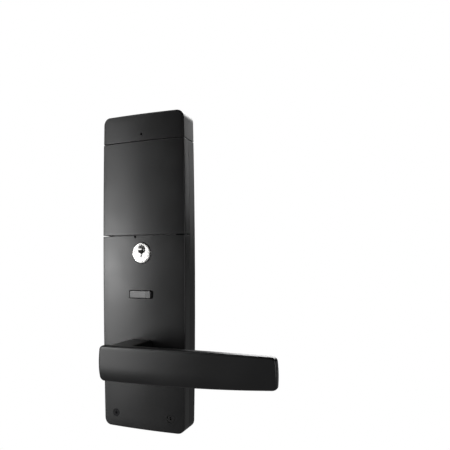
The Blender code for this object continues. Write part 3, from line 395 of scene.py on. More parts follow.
for side in (-1, 1):
    x = side * TAB_X
    arm = block(
        "cap_arm", (x - TAB_HALF, -INSIDE, cap_foot + FINE), (x + TAB_HALF, -TAB_OUT, cap_foot + SHELL)
    )
    combine(top_cap, arm, "UNION")
    tab_low, tab_high = (x - TAB_HALF, -TAB_OUT - TAB_THICK), (x + TAB_HALF, -TAB_OUT)
    tab = block("cap_tab", (*tab_low, TAB_SCREW - TAB_HALF), (*tab_high, cap_foot + SHELL))
    edit(tab)
    round_edges(tab, lambda e: along("Y")(e) and e.verts[0].co.z < TAB_SCREW, TAB_HALF - FINE, 6)
    deselect()
    combine(top_cap, tab, "UNION")
    combine(top_cap, turned("tab_hole", [(TAB_HOLE, 0), (TAB_HOLE, INSIDE - FINE)], x, TAB_SCREW, 16))
pinhole = [
    (PINHOLE_RADIUS, INSIDE - SHELL), (PINHOLE_RADIUS, FRONT - FINE),
    (PINHOLE_RADIUS + 2 * FINE, FRONT + FINE),
]
combine(top_cap, turned("pinhole", pinhole, 0, PINHOLE, 24))

for side in (-1, 1):
    x_low, x_high = side * HOOK_X - HOOK_WIDE / 2, side * HOOK_X + HOOK_WIDE / 2
    back = HOOK_DEEP - INSIDE
    root, tip = cover_top - HOOK_FOOT, cover_top + HOOK_RISE
    arm = block("hook_arm", (x_low, -INSIDE - FINE, root), (x_high, back, root + SHELL))
    combine(battery_cover, arm, "UNION")
    hook = block("hook", (x_low, back - HOOK_THICK, root), (x_high, back, tip))
    edit(hook)
    round_edges(hook, lambda e: along("X")(e) and e.verts[0].co.z > cover_top, HOOK_THICK / 3, 3)
    deselect()
    combine(battery_cover, hook, "UNION")
tongue_low = (-TONGUE_HALF, -INSIDE - FINE, cover_foot + TONGUE_LIFT)
tongue = block("tongue", tongue_low, (TONGUE_HALF, -TONGUE_BACK, cover_foot + 2 * TONGUE_LIFT))
combine(battery_cover, tongue, "UNION")

# The lower cover's openings, each with an eased edge, its finger notch and the lip behind the seam.
SCREW_X, SCREW_Z = 26 * MM, -120.3 * MM
SCREW_HEAD, SCREW_SHANK, SCREW_SUNK = 3.1 * MM, 1.5 * MM, 0.25 * MM
LEVER_Z = -69.5 * MM
CYLINDER_Z = 15.5 * MM
CYLINDER_RADIUS = 8.5 * MM
BUSH_HOLE = 9.6 * MM
SNIB_X, SNIB_Z, SNIB_LONG, SNIB_TALL = -1.0 * MM, -19 * MM, 21 * MM, 6.2 * MM
SNIB_PLAY, SNIB_HOLE_CORNER = 0.4 * MM, 1.2 * MM
SNIB_EAR = 2.8 * MM
SNIB_EAR_BACK = 3.2 * MM
NOTCH_LEFT, NOTCH_RIGHT, NOTCH_TALL, NOTCH_DEEP = -7 * MM, 7.4 * MM, 2.1 * MM, 1.2 * MM
LIP_HALF, LIP_DEEP, LIP_THICK, LIP_FOOT = 30 * MM, 3.2 * MM, 1.2 * MM, 3 * MM


def face_at(x):
    return EDGE_DEPTH + crown(x)


def opening(name, radius, x, z, steps):
    """A round cutter that flares a little where it leaves the face."""
    face = face_at(x)
    profile = [(radius, face - 3 * SHELL), (radius, face - FINE), (radius + 2 * FINE, face + FINE)]
    return turned(name, profile, x, z, steps)


combine(lower_cover, opening("cylinder_hole", CYLINDER_RADIUS + FINE, 0, CYLINDER_Z, 64))
combine(lower_cover, opening("bush_hole", BUSH_HOLE, 0, LEVER_Z, 64))
snib_half, snib_rise = SNIB_LONG / 2 + 2 * SNIB_PLAY, SNIB_TALL / 2 + SNIB_PLAY
for side in (-1, 1):
    ear_z = sorted((SNIB_Z + side * snib_rise, SNIB_Z + side * (snib_rise + SNIB_EAR)))
    ear_low = (SNIB_X - SNIB_EAR, -INSIDE - FINE, ear_z[0])
    ear = block("snib_ear", ear_low, (SNIB_X + SNIB_EAR, SNIB_EAR_BACK - INSIDE, ear_z[1]))
    combine(lower_cover, ear, "UNION")
snib_low = (SNIB_X - snib_half, -FRONT - SHELL, SNIB_Z - snib_rise)
snib_hole = block("snib_hole", snib_low, (SNIB_X + snib_half, 2 * SHELL - EDGE_DEPTH, SNIB_Z + snib_rise))
edit(snib_hole)
round_edges(snib_hole, along("Y"), SNIB_HOLE_CORNER, 5)
deselect()
combine(lower_cover, snib_hole)
notch_high = (NOTCH_RIGHT, -FRONT + NOTCH_DEEP, lower_top + SHELL)
notch = block("notch", (NOTCH_LEFT, -FRONT - SHELL, lower_top - NOTCH_TALL), notch_high)
edit(notch)
round_edges(notch, lambda e: along("Y")(e) and e.verts[0].co.z < lower_top, FINE, 3)
deselect()
combine(lower_cover, notch)
lip_back = LIP_DEEP - INSIDE
shelf = block(
    "lip_shelf", (-LIP_HALF, -INSIDE - FINE, lower_top - LIP_FOOT),
    (LIP_HALF, lip_back, lower_top - LIP_FOOT / 2),
)
combine(lower_cover, shelf, "UNION")
lip = block(
    "lip", (-LIP_HALF, lip_back - LIP_THICK, lower_top - LIP_FOOT), (LIP_HALF, lip_back, cover_foot)
)
combine(lower_cover, lip, "UNION")
for side in (-1, 1):
    face = face_at(SCREW_X) - SCREW_SUNK
    sink = SCREW_HEAD - SCREW_SHANK
    seat = [(SCREW_SHANK + FINE, 0), (SCREW_SHANK + FINE, face - sink), (SCREW_HEAD + FINE, face)]
    seat += [(SCREW_HEAD + FINE, face + SCREW_SUNK / 2), (SCREW_HEAD + 2 * FINE, face + SHELL)]
    combine(lower_cover, turned("screw_seat", seat, side * SCREW_X, SCREW_Z, 40))


def group(name, inputs, outputs):
    """An empty node group with its sockets: each is a name, and an input has a first value."""
    made = bpy.data.node_groups.new(name, "ShaderNodeTree")
    for socket, value in inputs.items():
        kind = "NodeSocketVector" if isinstance(value, tuple) else "NodeSocketFloat"
        made.interface.new_socket(socket, in_out="INPUT", socket_type=kind).default_value = value
    for socket in outputs:
        made.interface.new_socket(socket, in_out="OUTPUT", socket_type="NodeSocketFloat")
    return made, made.nodes.new("NodeGroupInput"), made.nodes.new("NodeGroupOutput")


def add(tree, kind, links=None, **settings):
    """A node with its properties set and its inputs given a value or a link."""
    node = tree.nodes.new("ShaderNode" + kind)
    for name, value in settings.items():
        setattr(node, name, value)
    for name, value in (links or {}).items():
        if isinstance(value, bpy.types.NodeSocket):
            tree.links.new(value, node.inputs[name])
        else:
            node.inputs[name].default_value = value
    return node


# Cast and moulded skins: a fine grain that catches the light, and a slow change of shade from place to place.
skin, skin_in, skin_out = group("skin_grain", {"Grain": 2600.0, "Patch": 35.0}, ("Height", "Shade"))
skin_place = add(skin, "TexCoord").outputs["Object"]
fine = add(skin, "TexNoise", {"Vector": skin_place, "Scale": skin_in.outputs["Grain"], "Detail": 2.0})
slow = add(skin, "TexNoise", {"Vector": skin_place, "Scale": skin_in.outputs["Patch"], "Detail": 5.0})
skin.links.new(fine.outputs["Fac"], skin_out.inputs["Height"])
skin.links.new(slow.outputs["Fac"], skin_out.inputs["Shade"])

# Edge wear and painted highlight: where a corner is handled, the coat is burnished and shows a little paler,
# and the same paler edge also stands in for light caught on rounded edges.
wear_and_highlight, wear_and_highlight_in, wear_and_highlight_out = group("edge_wear_and_highlight", {"Width": 0.0007, "Patch": 160.0}, ("Mask",))
soft = add(wear_and_highlight, "Bevel", {"Radius": wear_and_highlight_in.outputs["Width"]}, samples=6)
sharp = add(wear_and_highlight, "NewGeometry")
agree = add(
    wear_and_highlight, "VectorMath", {0: soft.outputs["Normal"], 1: sharp.outputs["Normal"]}, operation="DOT_PRODUCT"
)
turned_away = add(wear_and_highlight, "MapRange", {"Value": agree.outputs["Value"], "From Min": 0.99, "From Max": 0.8})
patches = add(
    wear_and_highlight, "TexNoise", {"Vector": add(wear_and_highlight, "TexCoord").outputs["Object"], "Scale": wear_and_highlight_in.outputs["Patch"]}
)
uneven = add(wear_and_highlight, "MapRange", {"Value": patches.outputs["Fac"], "From Min": 0.3, "From Max": 0.62})
both = add(
    wear_and_highlight, "Math", {0: turned_away.outputs["Result"], 1: uneven.outputs["Result"]}, operation="MULTIPLY"
)
wear_and_highlight.links.new(both.outputs["Value"], wear_and_highlight_out.inputs["Mask"])


def placed(tree, made, **values):
    """A node group placed in a material with its own values."""
    node = tree.nodes.new("ShaderNodeGroup")
    node.node_tree = made
    for name, value in values.items():
        node.inputs[name].default_value = value
    return node


def blend_of(tree, mask, first, second):
    """Between two colours, or two values, by a mask."""
    if isinstance(first, tuple) or isinstance(second, tuple):
        mixed = add(tree, "Mix", {"Factor": mask}, data_type="RGBA")
        for socket, colour in (("A", first), ("B", second)):
            if isinstance(colour, tuple):
                mixed.inputs[socket].default_value = (*colour, 1)
            else:
                tree.links.new(colour, mixed.inputs[socket])
        return mixed.outputs["Result"]
    ranged = add(
        tree, "MapRange",
        {"Value": mask, "From Min": 0.0, "From Max": 1.0, "To Min": first, "To Max": second},
    )
    return ranged.outputs["Result"]


def surface(name, metallic=0.0):
    """A new material, with its node tree and its shader."""
    made = bpy.data.materials.new(name)
    made.use_nodes = True
    shader = made.node_tree.nodes["Principled BSDF"]
    shader.inputs["Metallic"].default_value = metallic
    return made, made.node_tree, shader


def raise_up(tree, shader, height, depth, strength=1.0):
    """Stands a pattern up from the surface by a depth."""
    bump = add(tree, "Bump", {"Height": height, "Strength": strength, "Distance": depth})
    tree.links.new(bump.outputs["Normal"], shader.inputs["Normal"])


def coat(name, dark, pale, rough, grain, depth, wear_and_highlight_colour=None, patch=35.0, metallic=0.0):
    """A cast or moulded surface: shade and roughness drift slowly, grain stands up by a depth, and a given
    edge colour makes the edges paler, part wear and part painted highlight.
    """
    made, tree, shader = surface(name, metallic)
    skin_here = placed(tree, skin, Grain=grain, Patch=patch)
    drift = add(tree, "MapRange", {"Value": skin_here.outputs["Shade"], "From Min": 0.3, "From Max": 0.7})
    colour = blend_of(tree, drift.outputs["Result"], dark, pale)
    # Paler edges: partly handling wear, partly a painted highlight standing in for light on the edges.
    if wear_and_highlight_colour:
        wear_and_highlight_mask = placed(tree, wear_and_highlight).outputs["Mask"]
        mixed = add(tree, "Mix", {"Factor": wear_and_highlight_mask, "B": (*wear_and_highlight_colour, 1)}, data_type="RGBA")
        tree.links.new(colour, mixed.inputs["A"])
        colour = mixed.outputs["Result"]
    tree.links.new(colour, shader.inputs["Base Color"])
    tree.links.new(blend_of(tree, drift.outputs["Result"], *rough), shader.inputs["Roughness"])
    raise_up(tree, shader, skin_here.outputs["Height"], depth)
    return made


def dress(piece, material, slot, body, *stands_for):
    """Gives a finished piece its material, the body it rides on and the nodes it stands for. Its slot
    argument is not used.
    """
    finish(piece)
    piece.data.materials.clear()
    piece.data.materials.append(material)
    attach(piece, body)
    if stands_for:
        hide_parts(*stands_for)


def clad(material, *names):
    """Gives CAD nodes a material."""
    for name in names:
        nodes[name].data.materials.clear()
        nodes[name].data.materials.append(material)


# Each coat's last colour is its paler edge: part handling wear, part painted highlight.
powder_black = coat(
    "powder_black", (0.010, 0.010, 0.0105), (0.0135, 0.0135, 0.014), (0.29, 0.35), 2600, 0.00001,
    (0.03, 0.03, 0.031),
)
moulded_black = coat(
    "moulded_black", (0.011, 0.011, 0.0115), (0.014, 0.014, 0.0145), (0.30, 0.36), 3400, 0.000007,
    (0.024, 0.024, 0.025),
)

dress(top_cap, moulded_black, "black_plastic", "escutcheon", "top_cap")
dress(battery_cover, moulded_black, "black_plastic", "battery_cover", "battery_cover")
dress(lower_cover, powder_black, "black_cast", "escutcheon", "lower_cover")

# ---------------------------------------------------------------------------------------------------------
# Housing, the moulded body behind the covers. Its side shows between the covers' skirts and the door.
housing_black = coat(
    "housing_black", (0.012, 0.012, 0.0125), (0.015, 0.015, 0.0155), (0.45, 0.52), 3000, 0.00001
)
clad(housing_black, "housing")

# ---------------------------------------------------------------------------------------------------------
# The lever: one zinc casting with a bowed blade, a square neck and a round boss that turns in the bush.
# Its boss takes the square spindle, and a grub screw comes up into it from below the neck.
BLADE_LEFT, BLADE_RIGHT = -16.0 * MM, 123.6 * MM
BLADE_TOP, BLADE_TOP_RISE = 13.3 * MM, 0.6 * MM
BLADE_BOTTOM, BLADE_TAPER, BLADE_SWEEP = 14.2 * MM, 1.6 * MM, 3.2 * MM
BLADE_OUT, BLADE_BOW = 60 * MM, 2 * MM
BLADE_THICK, BLADE_END_THICK = 8 * MM, 6.8 * MM
BLADE_BULGE = 1.1 * MM
BLADE_CORNER, BLADE_EDGE = 3.2 * MM, 1.6 * MM
BLADE_FALL, BLADE_FALL_FROM = 1.1 * MM, 0.15
BLADE_CUTS, BLADE_ROWS = 28, 10
NECK_LEFT, NECK_RIGHT, NECK_HALF, NECK_CORNER = -12.5 * MM, 10.0 * MM, 12.8 * MM, 3.0 * MM
NECK_STANDOFF = 0.6 * MM
BOSS_RADIUS, BOSS_BACK, GROOVE_DEPTH = 7.6 * MM, 12.4 * MM, 0.7 * MM
GROOVE_START, GROOVE_END = 13.2 * MM, 14.8 * MM
SOCKET_HALF, SOCKET_END = 4.3 * MM, 38.3 * MM
GRUB_OUT, GRUB_BORE = 30 * MM, 2.8 * MM

half_blade = (BLADE_TOP + BLADE_BOTTOM) / 2
half_long = (BLADE_RIGHT - BLADE_LEFT) / 2
blade_middle = (BLADE_LEFT + BLADE_RIGHT) / 2
blade_low = (BLADE_LEFT, -BLADE_OUT, LEVER_Z - half_blade)
lever = block("lever_handle_cast", blade_low, (BLADE_RIGHT, BLADE_THICK - BLADE_OUT, LEVER_Z + half_blade))
edit(lever)
round_edges(lever, along("Y"), BLADE_CORNER, CORNER_STEPS)
inner = half_long - BLADE_CORNER - 1 * MM
slice_along("X", [blade_middle + x for x in spread(-inner, inner, BLADE_CUTS)])
inner = half_blade - BLADE_CORNER - 0.5 * MM
slice_along("Z", [LEVER_Z + z for z in spread(-inner, inner, BLADE_ROWS)])
for z in levels(lever, "Z", lambda v: True):
    v_here = (z - LEVER_Z) / half_blade
    fall = BLADE_FALL * max(0.0, (-v_here - BLADE_FALL_FROM) / (1 - BLADE_FALL_FROM)) ** 2
    if fall > 0:
        pick(lever, "VERT", lambda v: abs(v.co.z - z) < ROUNDING and v.co.y < -BLADE_OUT + SKIN_DEEP)
        bpy.ops.transform.translate(value=(0, fall, 0))
for x in levels(lever, "X", lambda v: True):
    u_here = (x - blade_middle) / half_long
    t_here = (u_here + 1) / 2
    above = BLADE_TOP + BLADE_TOP_RISE * (1 - u_here**2)
    below = BLADE_BOTTOM - BLADE_TAPER * t_here - BLADE_SWEEP * t_here**3
    for side, reach in ((1, above), (-1, below)):
        pick(lever, "VERT", lambda v: abs(v.co.x - x) < ROUNDING and side * (v.co.z - LEVER_Z) > 0)
        bpy.ops.transform.resize(value=(1, 1, reach / half_blade), center_override=(0, 0, LEVER_Z))
    thinner = (BLADE_THICK - BLADE_END_THICK) * u_here**2
    pick(lever, "VERT", lambda v: abs(v.co.x - x) < ROUNDING and v.co.y > BLADE_THICK / 2 - BLADE_OUT)
    bpy.ops.transform.translate(value=(0, -thinner, 0))
    pick(lever, "VERT", lambda v: abs(v.co.x - x) < ROUNDING)
    bpy.ops.transform.translate(value=(0, BLADE_BOW * u_here**2, 0))
for x in levels(lever, "X", lambda v: abs(v.co.x - blade_middle) > half_long - 2 * BLADE_CORNER):
    u_here = (x - blade_middle) / half_long
    for z in levels(lever, "Z", lambda v: abs(v.co.x - x) < ROUNDING):
        v_here = (z - LEVER_Z) / half_blade
        push = BLADE_BULGE * max(0.0, 1 - v_here**2) * u_here * abs(u_here) ** 5
        pick(lever, "VERT", lambda v: abs(v.co.x - x) < ROUNDING and abs(v.co.z - z) < ROUNDING)
        bpy.ops.transform.translate(value=(push, 0, 0))
for facing in (-1, 1):
    round_edges(lever, rim_of(facing), BLADE_EDGE, 4)
deselect()

neck_low = (NECK_LEFT, BLADE_THICK / 2 + BLADE_BOW - BLADE_OUT, LEVER_Z - NECK_HALF)
neck = block("neck", neck_low, (NECK_RIGHT, -FRONT - NECK_STANDOFF, LEVER_Z + NECK_HALF))
edit(neck)
round_edges(neck, along("Y"), NECK_CORNER, 6)
round_edges(neck, rim_of(1), NECK_STANDOFF, 2)
deselect()
combine(lever, neck, "UNION")
groove = BOSS_RADIUS - GROOVE_DEPTH
boss = [(BOSS_RADIUS - FINE, BOSS_BACK), (BOSS_RADIUS, BOSS_BACK + FINE), (BOSS_RADIUS, GROOVE_START)]
boss += [
    (groove, GROOVE_START), (groove, GROOVE_END), (BOSS_RADIUS, GROOVE_END), (BOSS_RADIUS, FRONT + 3 * MM)
]
combine(lever, turned("boss", boss, 0, LEVER_Z), "UNION")
socket_low = (-SOCKET_HALF, -SOCKET_END, LEVER_Z - SOCKET_HALF)
combine(lever, block("socket", socket_low, (SOCKET_HALF, 0, LEVER_Z + SOCKET_HALF)))
bore = [(GRUB_BORE, LEVER_Z - 2 * NECK_HALF), (GRUB_BORE, LEVER_Z - SOCKET_HALF + 1 * MM)]
combine(lever, turned("grub_bore", bore, steps=24, upright=True, out=GRUB_OUT))

# The last colour is the paler edge: part handling wear, part painted highlight.
lever_black = coat(
    "lever_black", (0.009, 0.009, 0.0095), (0.012, 0.012, 0.0125), (0.28, 0.33), 2600, 0.000008,
    (0.035, 0.035, 0.036),
)
dress(lever, lever_black, "black_cast", "lever", "lever_handle")

# ---------------------------------------------------------------------------------------------------------
# Key cylinder: a plug that turns in a round body, both brass under satin nickel, faced on a lathe.
# The body's leg stands up behind the door face; the key goes into a conical recess and a stepped slot.
CYLINDER_REAR, LEG_HALF, LEG_TOP = 8 * MM, 5 * MM, 24.5 * MM
FACE_OUT = 21.5 * MM
PLUG_RADIUS, PLUG_REAR, PLUG_SUNK = 7.2 * MM, 17.5 * MM, 0.2 * MM
RECESS_RADIUS, RECESS_UP, RECESS_DEEP = 3.6 * MM, 3.1 * MM, 3 * MM
SLOT_HALF, SLOT_DOWN, SLOT_DEEP = 0.8 * MM, 3.2 * MM, 22 * MM
SLOT_STEP, WARD_LOW, WARD_HIGH, WARD_LAP = 0.45 * MM, -1.2 * MM, 1.0 * MM, 0.1 * MM
SLOT_OVER = 1.6 * MM
FACE_BEVEL, FACE_EASE, BORE_PLAY, PLUG_EASE = 0.5 * MM, 0.15 * MM, 0.1 * MM, 0.12 * MM
LEG_SUNK = 0.6 * MM
TURNED_STEPS = 96

bore_radius = PLUG_RADIUS + BORE_PLAY
body_side = [(bore_radius, -CYLINDER_REAR), (CYLINDER_RADIUS - FINE, -CYLINDER_REAR)]
body_side += [(CYLINDER_RADIUS, FINE - CYLINDER_REAR), (CYLINDER_RADIUS, FACE_OUT - FACE_BEVEL)]
body_side += [(CYLINDER_RADIUS - FACE_EASE, FACE_OUT - FACE_EASE), (CYLINDER_RADIUS - FACE_BEVEL, FACE_OUT)]
body_side += [(bore_radius + BORE_PLAY, FACE_OUT), (bore_radius, FACE_OUT - BORE_PLAY)]
cylinder_body = turned("cylinder_body_turned", body_side, 0, CYLINDER_Z, TURNED_STEPS, hollow=True)
leg_back = CYLINDER_REAR - FINE
leg_base = CYLINDER_Z + CYLINDER_RADIUS - LEG_SUNK
leg = block("leg", (-LEG_HALF, FINE, leg_base), (LEG_HALF, leg_back, CYLINDER_Z + LEG_TOP))
edit(leg)
round_edges(leg, lambda e: along("Y")(e) and e.verts[0].co.z > leg_base + FINE, LEG_HALF - FINE, 10)
deselect()
combine(cylinder_body, leg, "UNION")

plug_face = FACE_OUT - PLUG_SUNK
plug_side = [(PLUG_RADIUS - FINE, -PLUG_REAR), (PLUG_RADIUS, FINE - PLUG_REAR)]
plug_side += [(PLUG_RADIUS, plug_face - PLUG_EASE), (PLUG_RADIUS - PLUG_EASE, plug_face)]
cylinder_plug = turned("cylinder_plug_turned", plug_side, 0, CYLINDER_Z, TURNED_STEPS)
recess_z = CYLINDER_Z + RECESS_UP
recess = [(SLOT_HALF, plug_face - RECESS_DEEP), (RECESS_RADIUS, plug_face - BORE_PLAY)]
recess += [(RECESS_RADIUS + FINE, plug_face + FINE - BORE_PLAY)]
combine(cylinder_plug, turned("recess", recess, 0, recess_z, 64))
slot_parts = [(-SLOT_DOWN, WARD_LOW, 0), (WARD_LOW - WARD_LAP, WARD_HIGH + WARD_LAP, SLOT_STEP)]
slot_parts += [(WARD_HIGH, RECESS_UP + SLOT_OVER, 0)]
for low, high, shift in slot_parts:
    slot_low = (shift - SLOT_HALF, -plug_face - SHELL, CYLINDER_Z + low)
    slot_high = (shift + SLOT_HALF - SLOT_STEP, SLOT_DEEP - plug_face, CYLINDER_Z + high)
    combine(cylinder_plug, block("slot", slot_low, slot_high))

# Turned nickel: fine rings about a centre line, a few deeper than the rest, and a little haze between them.
rings, rings_in, rings_out = group(
    "lathe_rings", {"Centre": (0.0, 0.0, 0.0), "Pitch": 9000.0}, ("Height", "Haze")
)
from_centre = add(
    rings, "VectorMath", {0: add(rings, "TexCoord").outputs["Object"], 1: rings_in.outputs["Centre"]},
    operation="SUBTRACT",
)
in_face = add(
    rings, "VectorMath", {0: from_centre.outputs["Vector"], 1: (1.0, 0.0, 1.0)}, operation="MULTIPLY"
)
radius = add(rings, "VectorMath", {0: in_face.outputs["Vector"]}, operation="LENGTH")
ring_cut = add(
    rings, "TexNoise", {"W": radius.outputs["Value"], "Scale": rings_in.outputs["Pitch"], "Detail": 3.0},
    noise_dimensions="1D",
)
haze = add(rings, "TexNoise", {"Vector": from_centre.outputs["Vector"], "Scale": 260.0, "Detail": 4.0})
rings.links.new(ring_cut.outputs["Fac"], rings_out.inputs["Height"])
rings.links.new(haze.outputs["Fac"], rings_out.inputs["Haze"])


def lathe_metal(name, bright, dull, rough, centre_z, depth):
    made, tree, shader = surface(name, 1.0)
    here = placed(tree, rings, Centre=(0.0, 0.0, centre_z))
    drift = add(tree, "MapRange", {"Value": here.outputs["Haze"], "From Min": 0.32, "From Max": 0.7})
    tree.links.new(blend_of(tree, drift.outputs["Result"], bright, dull), shader.inputs["Base Color"])
    tree.links.new(blend_of(tree, drift.outputs["Result"], *rough), shader.inputs["Roughness"])
    raise_up(tree, shader, here.outputs["Height"], depth)
    return made


satin_nickel = lathe_metal(
    "satin_nickel", (0.78, 0.775, 0.76), (0.66, 0.655, 0.64), (0.22, 0.34), CYLINDER_Z, 0.000004
)
dress(cylinder_body, satin_nickel, "satin_chrome", "escutcheon", "cylinder_body")
dress(cylinder_plug, satin_nickel, "satin_chrome", "cylinder_plug", "cylinder_plug")

# ---------------------------------------------------------------------------------------------------------
# Snib: a moulded rocker on a steel pin. Its ends are round about the pin, so its gaps stay the same as it
# rocks. The right end stands proud with the snib off, and has three grip lines across it.
SNIB_AXIS_OUT = 19.0 * MM
SNIB_FACE, SNIB_BELOW, SNIB_TILT = 3.1 * MM, 4.2 * MM, math.radians(6)
SNIB_PIN = 0.95 * MM
SNIB_CORNER, SNIB_EASE = 0.9 * MM, 0.45 * MM
GRIP_LINES, GRIP_WIDTH, GRIP_DEPTH = (6.4 * MM, 7.6 * MM, 8.8 * MM), 0.4 * MM, 0.2 * MM

snib_end = math.hypot(SNIB_LONG / 2, SNIB_FACE)
snib = block(
    "snib_rocker_moulded", (-SNIB_LONG / 2, -SNIB_FACE, -SNIB_TALL / 2),
    (SNIB_LONG / 2, SNIB_BELOW, SNIB_TALL / 2),
)
edit(snib)
round_edges(snib, along("Y"), SNIB_CORNER, 4)
slice_along("Y", spread(-SNIB_FACE, SNIB_BELOW, 10)[1:-1])
for y in levels(snib, "Y", lambda v: True):
    reach = math.sqrt(snib_end**2 - y**2)
    pick(snib, "VERT", lambda v: abs(v.co.y - y) < ROUNDING)
    bpy.ops.transform.resize(value=(2 * reach / SNIB_LONG, 1, 1), center_override=(0, 0, 0))
round_edges(snib, rim_of(-1), SNIB_EASE, 3)
deselect()
for x in GRIP_LINES:
    groove_low = (x - GRIP_WIDTH / 2, -SNIB_FACE - FINE, -SNIB_TALL / 2 - FINE)
    combine(
        snib,
        block("grip_line", groove_low, (x + GRIP_WIDTH / 2, GRIP_DEPTH - SNIB_FACE, SNIB_TALL / 2 + FINE)),
    )
pin_hole = [(SNIB_PIN, -SNIB_TALL), (SNIB_PIN, SNIB_TALL)]
combine(snib, turned("pin_hole", pin_hole, steps=24, upright=True))
put(snib, (SNIB_X, -SNIB_AXIS_OUT, SNIB_Z), (0, 0, -SNIB_TILT))
dress(snib, moulded_black, "black_plastic", "snib_rocker", "snib_rocker")

# ---------------------------------------------------------------------------------------------------------
# The two screws that hold the lower cover: countersunk, black oxide on steel, with a cross recess.
RECESS_REACH, RECESS_ARM, RECESS_SINK = 0.58, 0.13, 1.1 * MM
RECESS_FOOT = (0.35, 1, 0.6)
THREAD_PITCH, THREAD_DEEP, THREAD_STEPS = 0.7 * MM, 0.35 * MM, 16
HEAD_EASE = 0.15 * MM


def cross_recess(piece, x, z, face, head, deep):
    """Cuts a cross with sloping ends into a screw's head."""
    for turn_by in (0, math.pi / 2):
        reach, half = RECESS_REACH * head, RECESS_ARM * head
        arm = block("recess_arm", (-reach, -FINE, -half), (reach, deep, half))
        edit(arm)
        pick(arm, "VERT", lambda v: v.co.y > deep / 2)
        bpy.ops.transform.resize(value=RECESS_FOOT, center_override=(0, 0, 0))
        combine(piece, put(arm, (x, -face, z), (0, turn_by, 0)))


def thread(name, root, crest, pitch, start, end):
    """A helical thread about the Y axis between two values of out, closed at both ends."""
    deselect()
    bpy.ops.mesh.primitive_circle_add(vertices=3, radius=crest)
    piece = named(name)
    edit(piece)
    bpy.ops.mesh.delete(type="ONLY_FACE")
    shape = bmesh.from_edit_mesh(piece.data)
    places = [(root, 0), (crest, pitch / 2), (root, pitch)]
    moves = [Vector((r, -start + pitch - y, 0)) - v.co for (r, y), v in zip(places, shape.verts)]
    for number, move in enumerate(moves):
        pick(piece, "VERT", lambda v: v.index == number)
        bpy.ops.transform.translate(value=move)
    pick(piece, "EDGE", lambda e: {v.index for v in e.verts} == {0, 2})
    bpy.ops.mesh.delete(type="EDGE")
    activate(piece)
    bpy.ops.object.modifier_add(type="SCREW")
    screw = piece.modifiers[-1]
    screw.axis = "Y"
    screw.steps = screw.render_steps = THREAD_STEPS
    screw.screw_offset = -pitch
    screw.iterations = int((end - start) / pitch) + 3
    screw.use_merge_vertices = True
    bpy.ops.object.modifier_apply(modifier=screw.name)
    edit(piece)
    bpy.ops.mesh.remove_doubles(threshold=1e-6)
    for place, side in ((start, 1), (end, -1)):
        bpy.ops.mesh.select_all(action="SELECT")
        cuts = {"clear_outer": side > 0, "clear_inner": side < 0}
        bpy.ops.mesh.bisect(plane_co=(0, -place, 0), plane_no=(0, 1, 0), use_fill=True, **cuts)
    bpy.ops.mesh.select_all(action="SELECT")
    bpy.ops.mesh.normals_make_consistent(inside=False)
    deselect()
    return piece


def copied(piece, name):
    """A copy with its own mesh."""
    twin = piece.copy()
    twin.data = piece.data.copy()
    twin.name = twin.data.name = name
    bpy.context.scene.collection.objects.link(twin)
    return twin


screw_face = face_at(SCREW_X) - SCREW_SUNK
neck_out = screw_face - (SCREW_HEAD - SCREW_SHANK)
screw_root, thread_end = SCREW_SHANK - THREAD_DEEP, neck_out - 1 * MM
cover_screw = thread("cover_screw_right_threaded", screw_root, SCREW_SHANK, THREAD_PITCH, FINE, thread_end)
neck = SCREW_SHANK - 0.1 * MM
head = [(neck, neck_out - 2 * MM), (neck, neck_out)]
head += [(SCREW_HEAD, screw_face - HEAD_EASE), (SCREW_HEAD - HEAD_EASE, screw_face)]
combine(cover_screw, turned("screw_head", head, steps=40), "UNION")
cross_recess(cover_screw, 0, 0, screw_face, SCREW_HEAD, RECESS_SINK)
cover_screw_left = put(copied(cover_screw, "cover_screw_left_threaded"), (-SCREW_X, 0, SCREW_Z))
put(cover_screw, (SCREW_X, 0, SCREW_Z))

# Drawn and rolled metal: faint lines along one direction, and slow patches of a duller tone.
drawn, drawn_in, drawn_out = group(
    "drawn_lines", {"Stretch": (1.0, 1.0, 1.0), "Patch": 60.0}, ("Height", "Shade")
)
drawn_place = add(drawn, "TexCoord").outputs["Object"]
pulled = add(drawn, "VectorMath", {0: drawn_place, 1: drawn_in.outputs["Stretch"]}, operation="MULTIPLY")
lines = add(drawn, "TexNoise", {"Vector": pulled.outputs["Vector"], "Scale": 900.0, "Detail": 3.0})
stains = add(drawn, "TexNoise", {"Vector": drawn_place, "Scale": drawn_in.outputs["Patch"], "Detail": 5.0})
drawn.links.new(lines.outputs["Fac"], drawn_out.inputs["Height"])
drawn.links.new(stains.outputs["Fac"], drawn_out.inputs["Shade"])


def plated(name, bright, dull, rough, stretch=(1.0, 0.05, 1.0), depth=0.000005, patch=60.0, metallic=1.0):
    """A metal surface: bright and dull patches under drawn lines."""
    made, tree, shader = surface(name, metallic)
    here = placed(tree, drawn, Stretch=stretch, Patch=patch)
    drift = add(tree, "MapRange", {"Value": here.outputs["Shade"], "From Min": 0.33, "From Max": 0.66})
    tree.links.new(blend_of(tree, drift.outputs["Result"], bright, dull), shader.inputs["Base Color"])
    tree.links.new(blend_of(tree, drift.outputs["Result"], *rough), shader.inputs["Roughness"])
    raise_up(tree, shader, here.outputs["Height"], depth)
    return made


black_oxide = plated(
    "black_oxide", (0.022, 0.022, 0.024), (0.035, 0.034, 0.034), (0.34, 0.48), metallic=0.85
)
for piece, node in ((cover_screw_left, "cover_screw_left"), (cover_screw, "cover_screw_right")):
    dress(piece, black_oxide, "black_steel", "escutcheon", node)
clad(black_oxide, "lever_grub_screw")

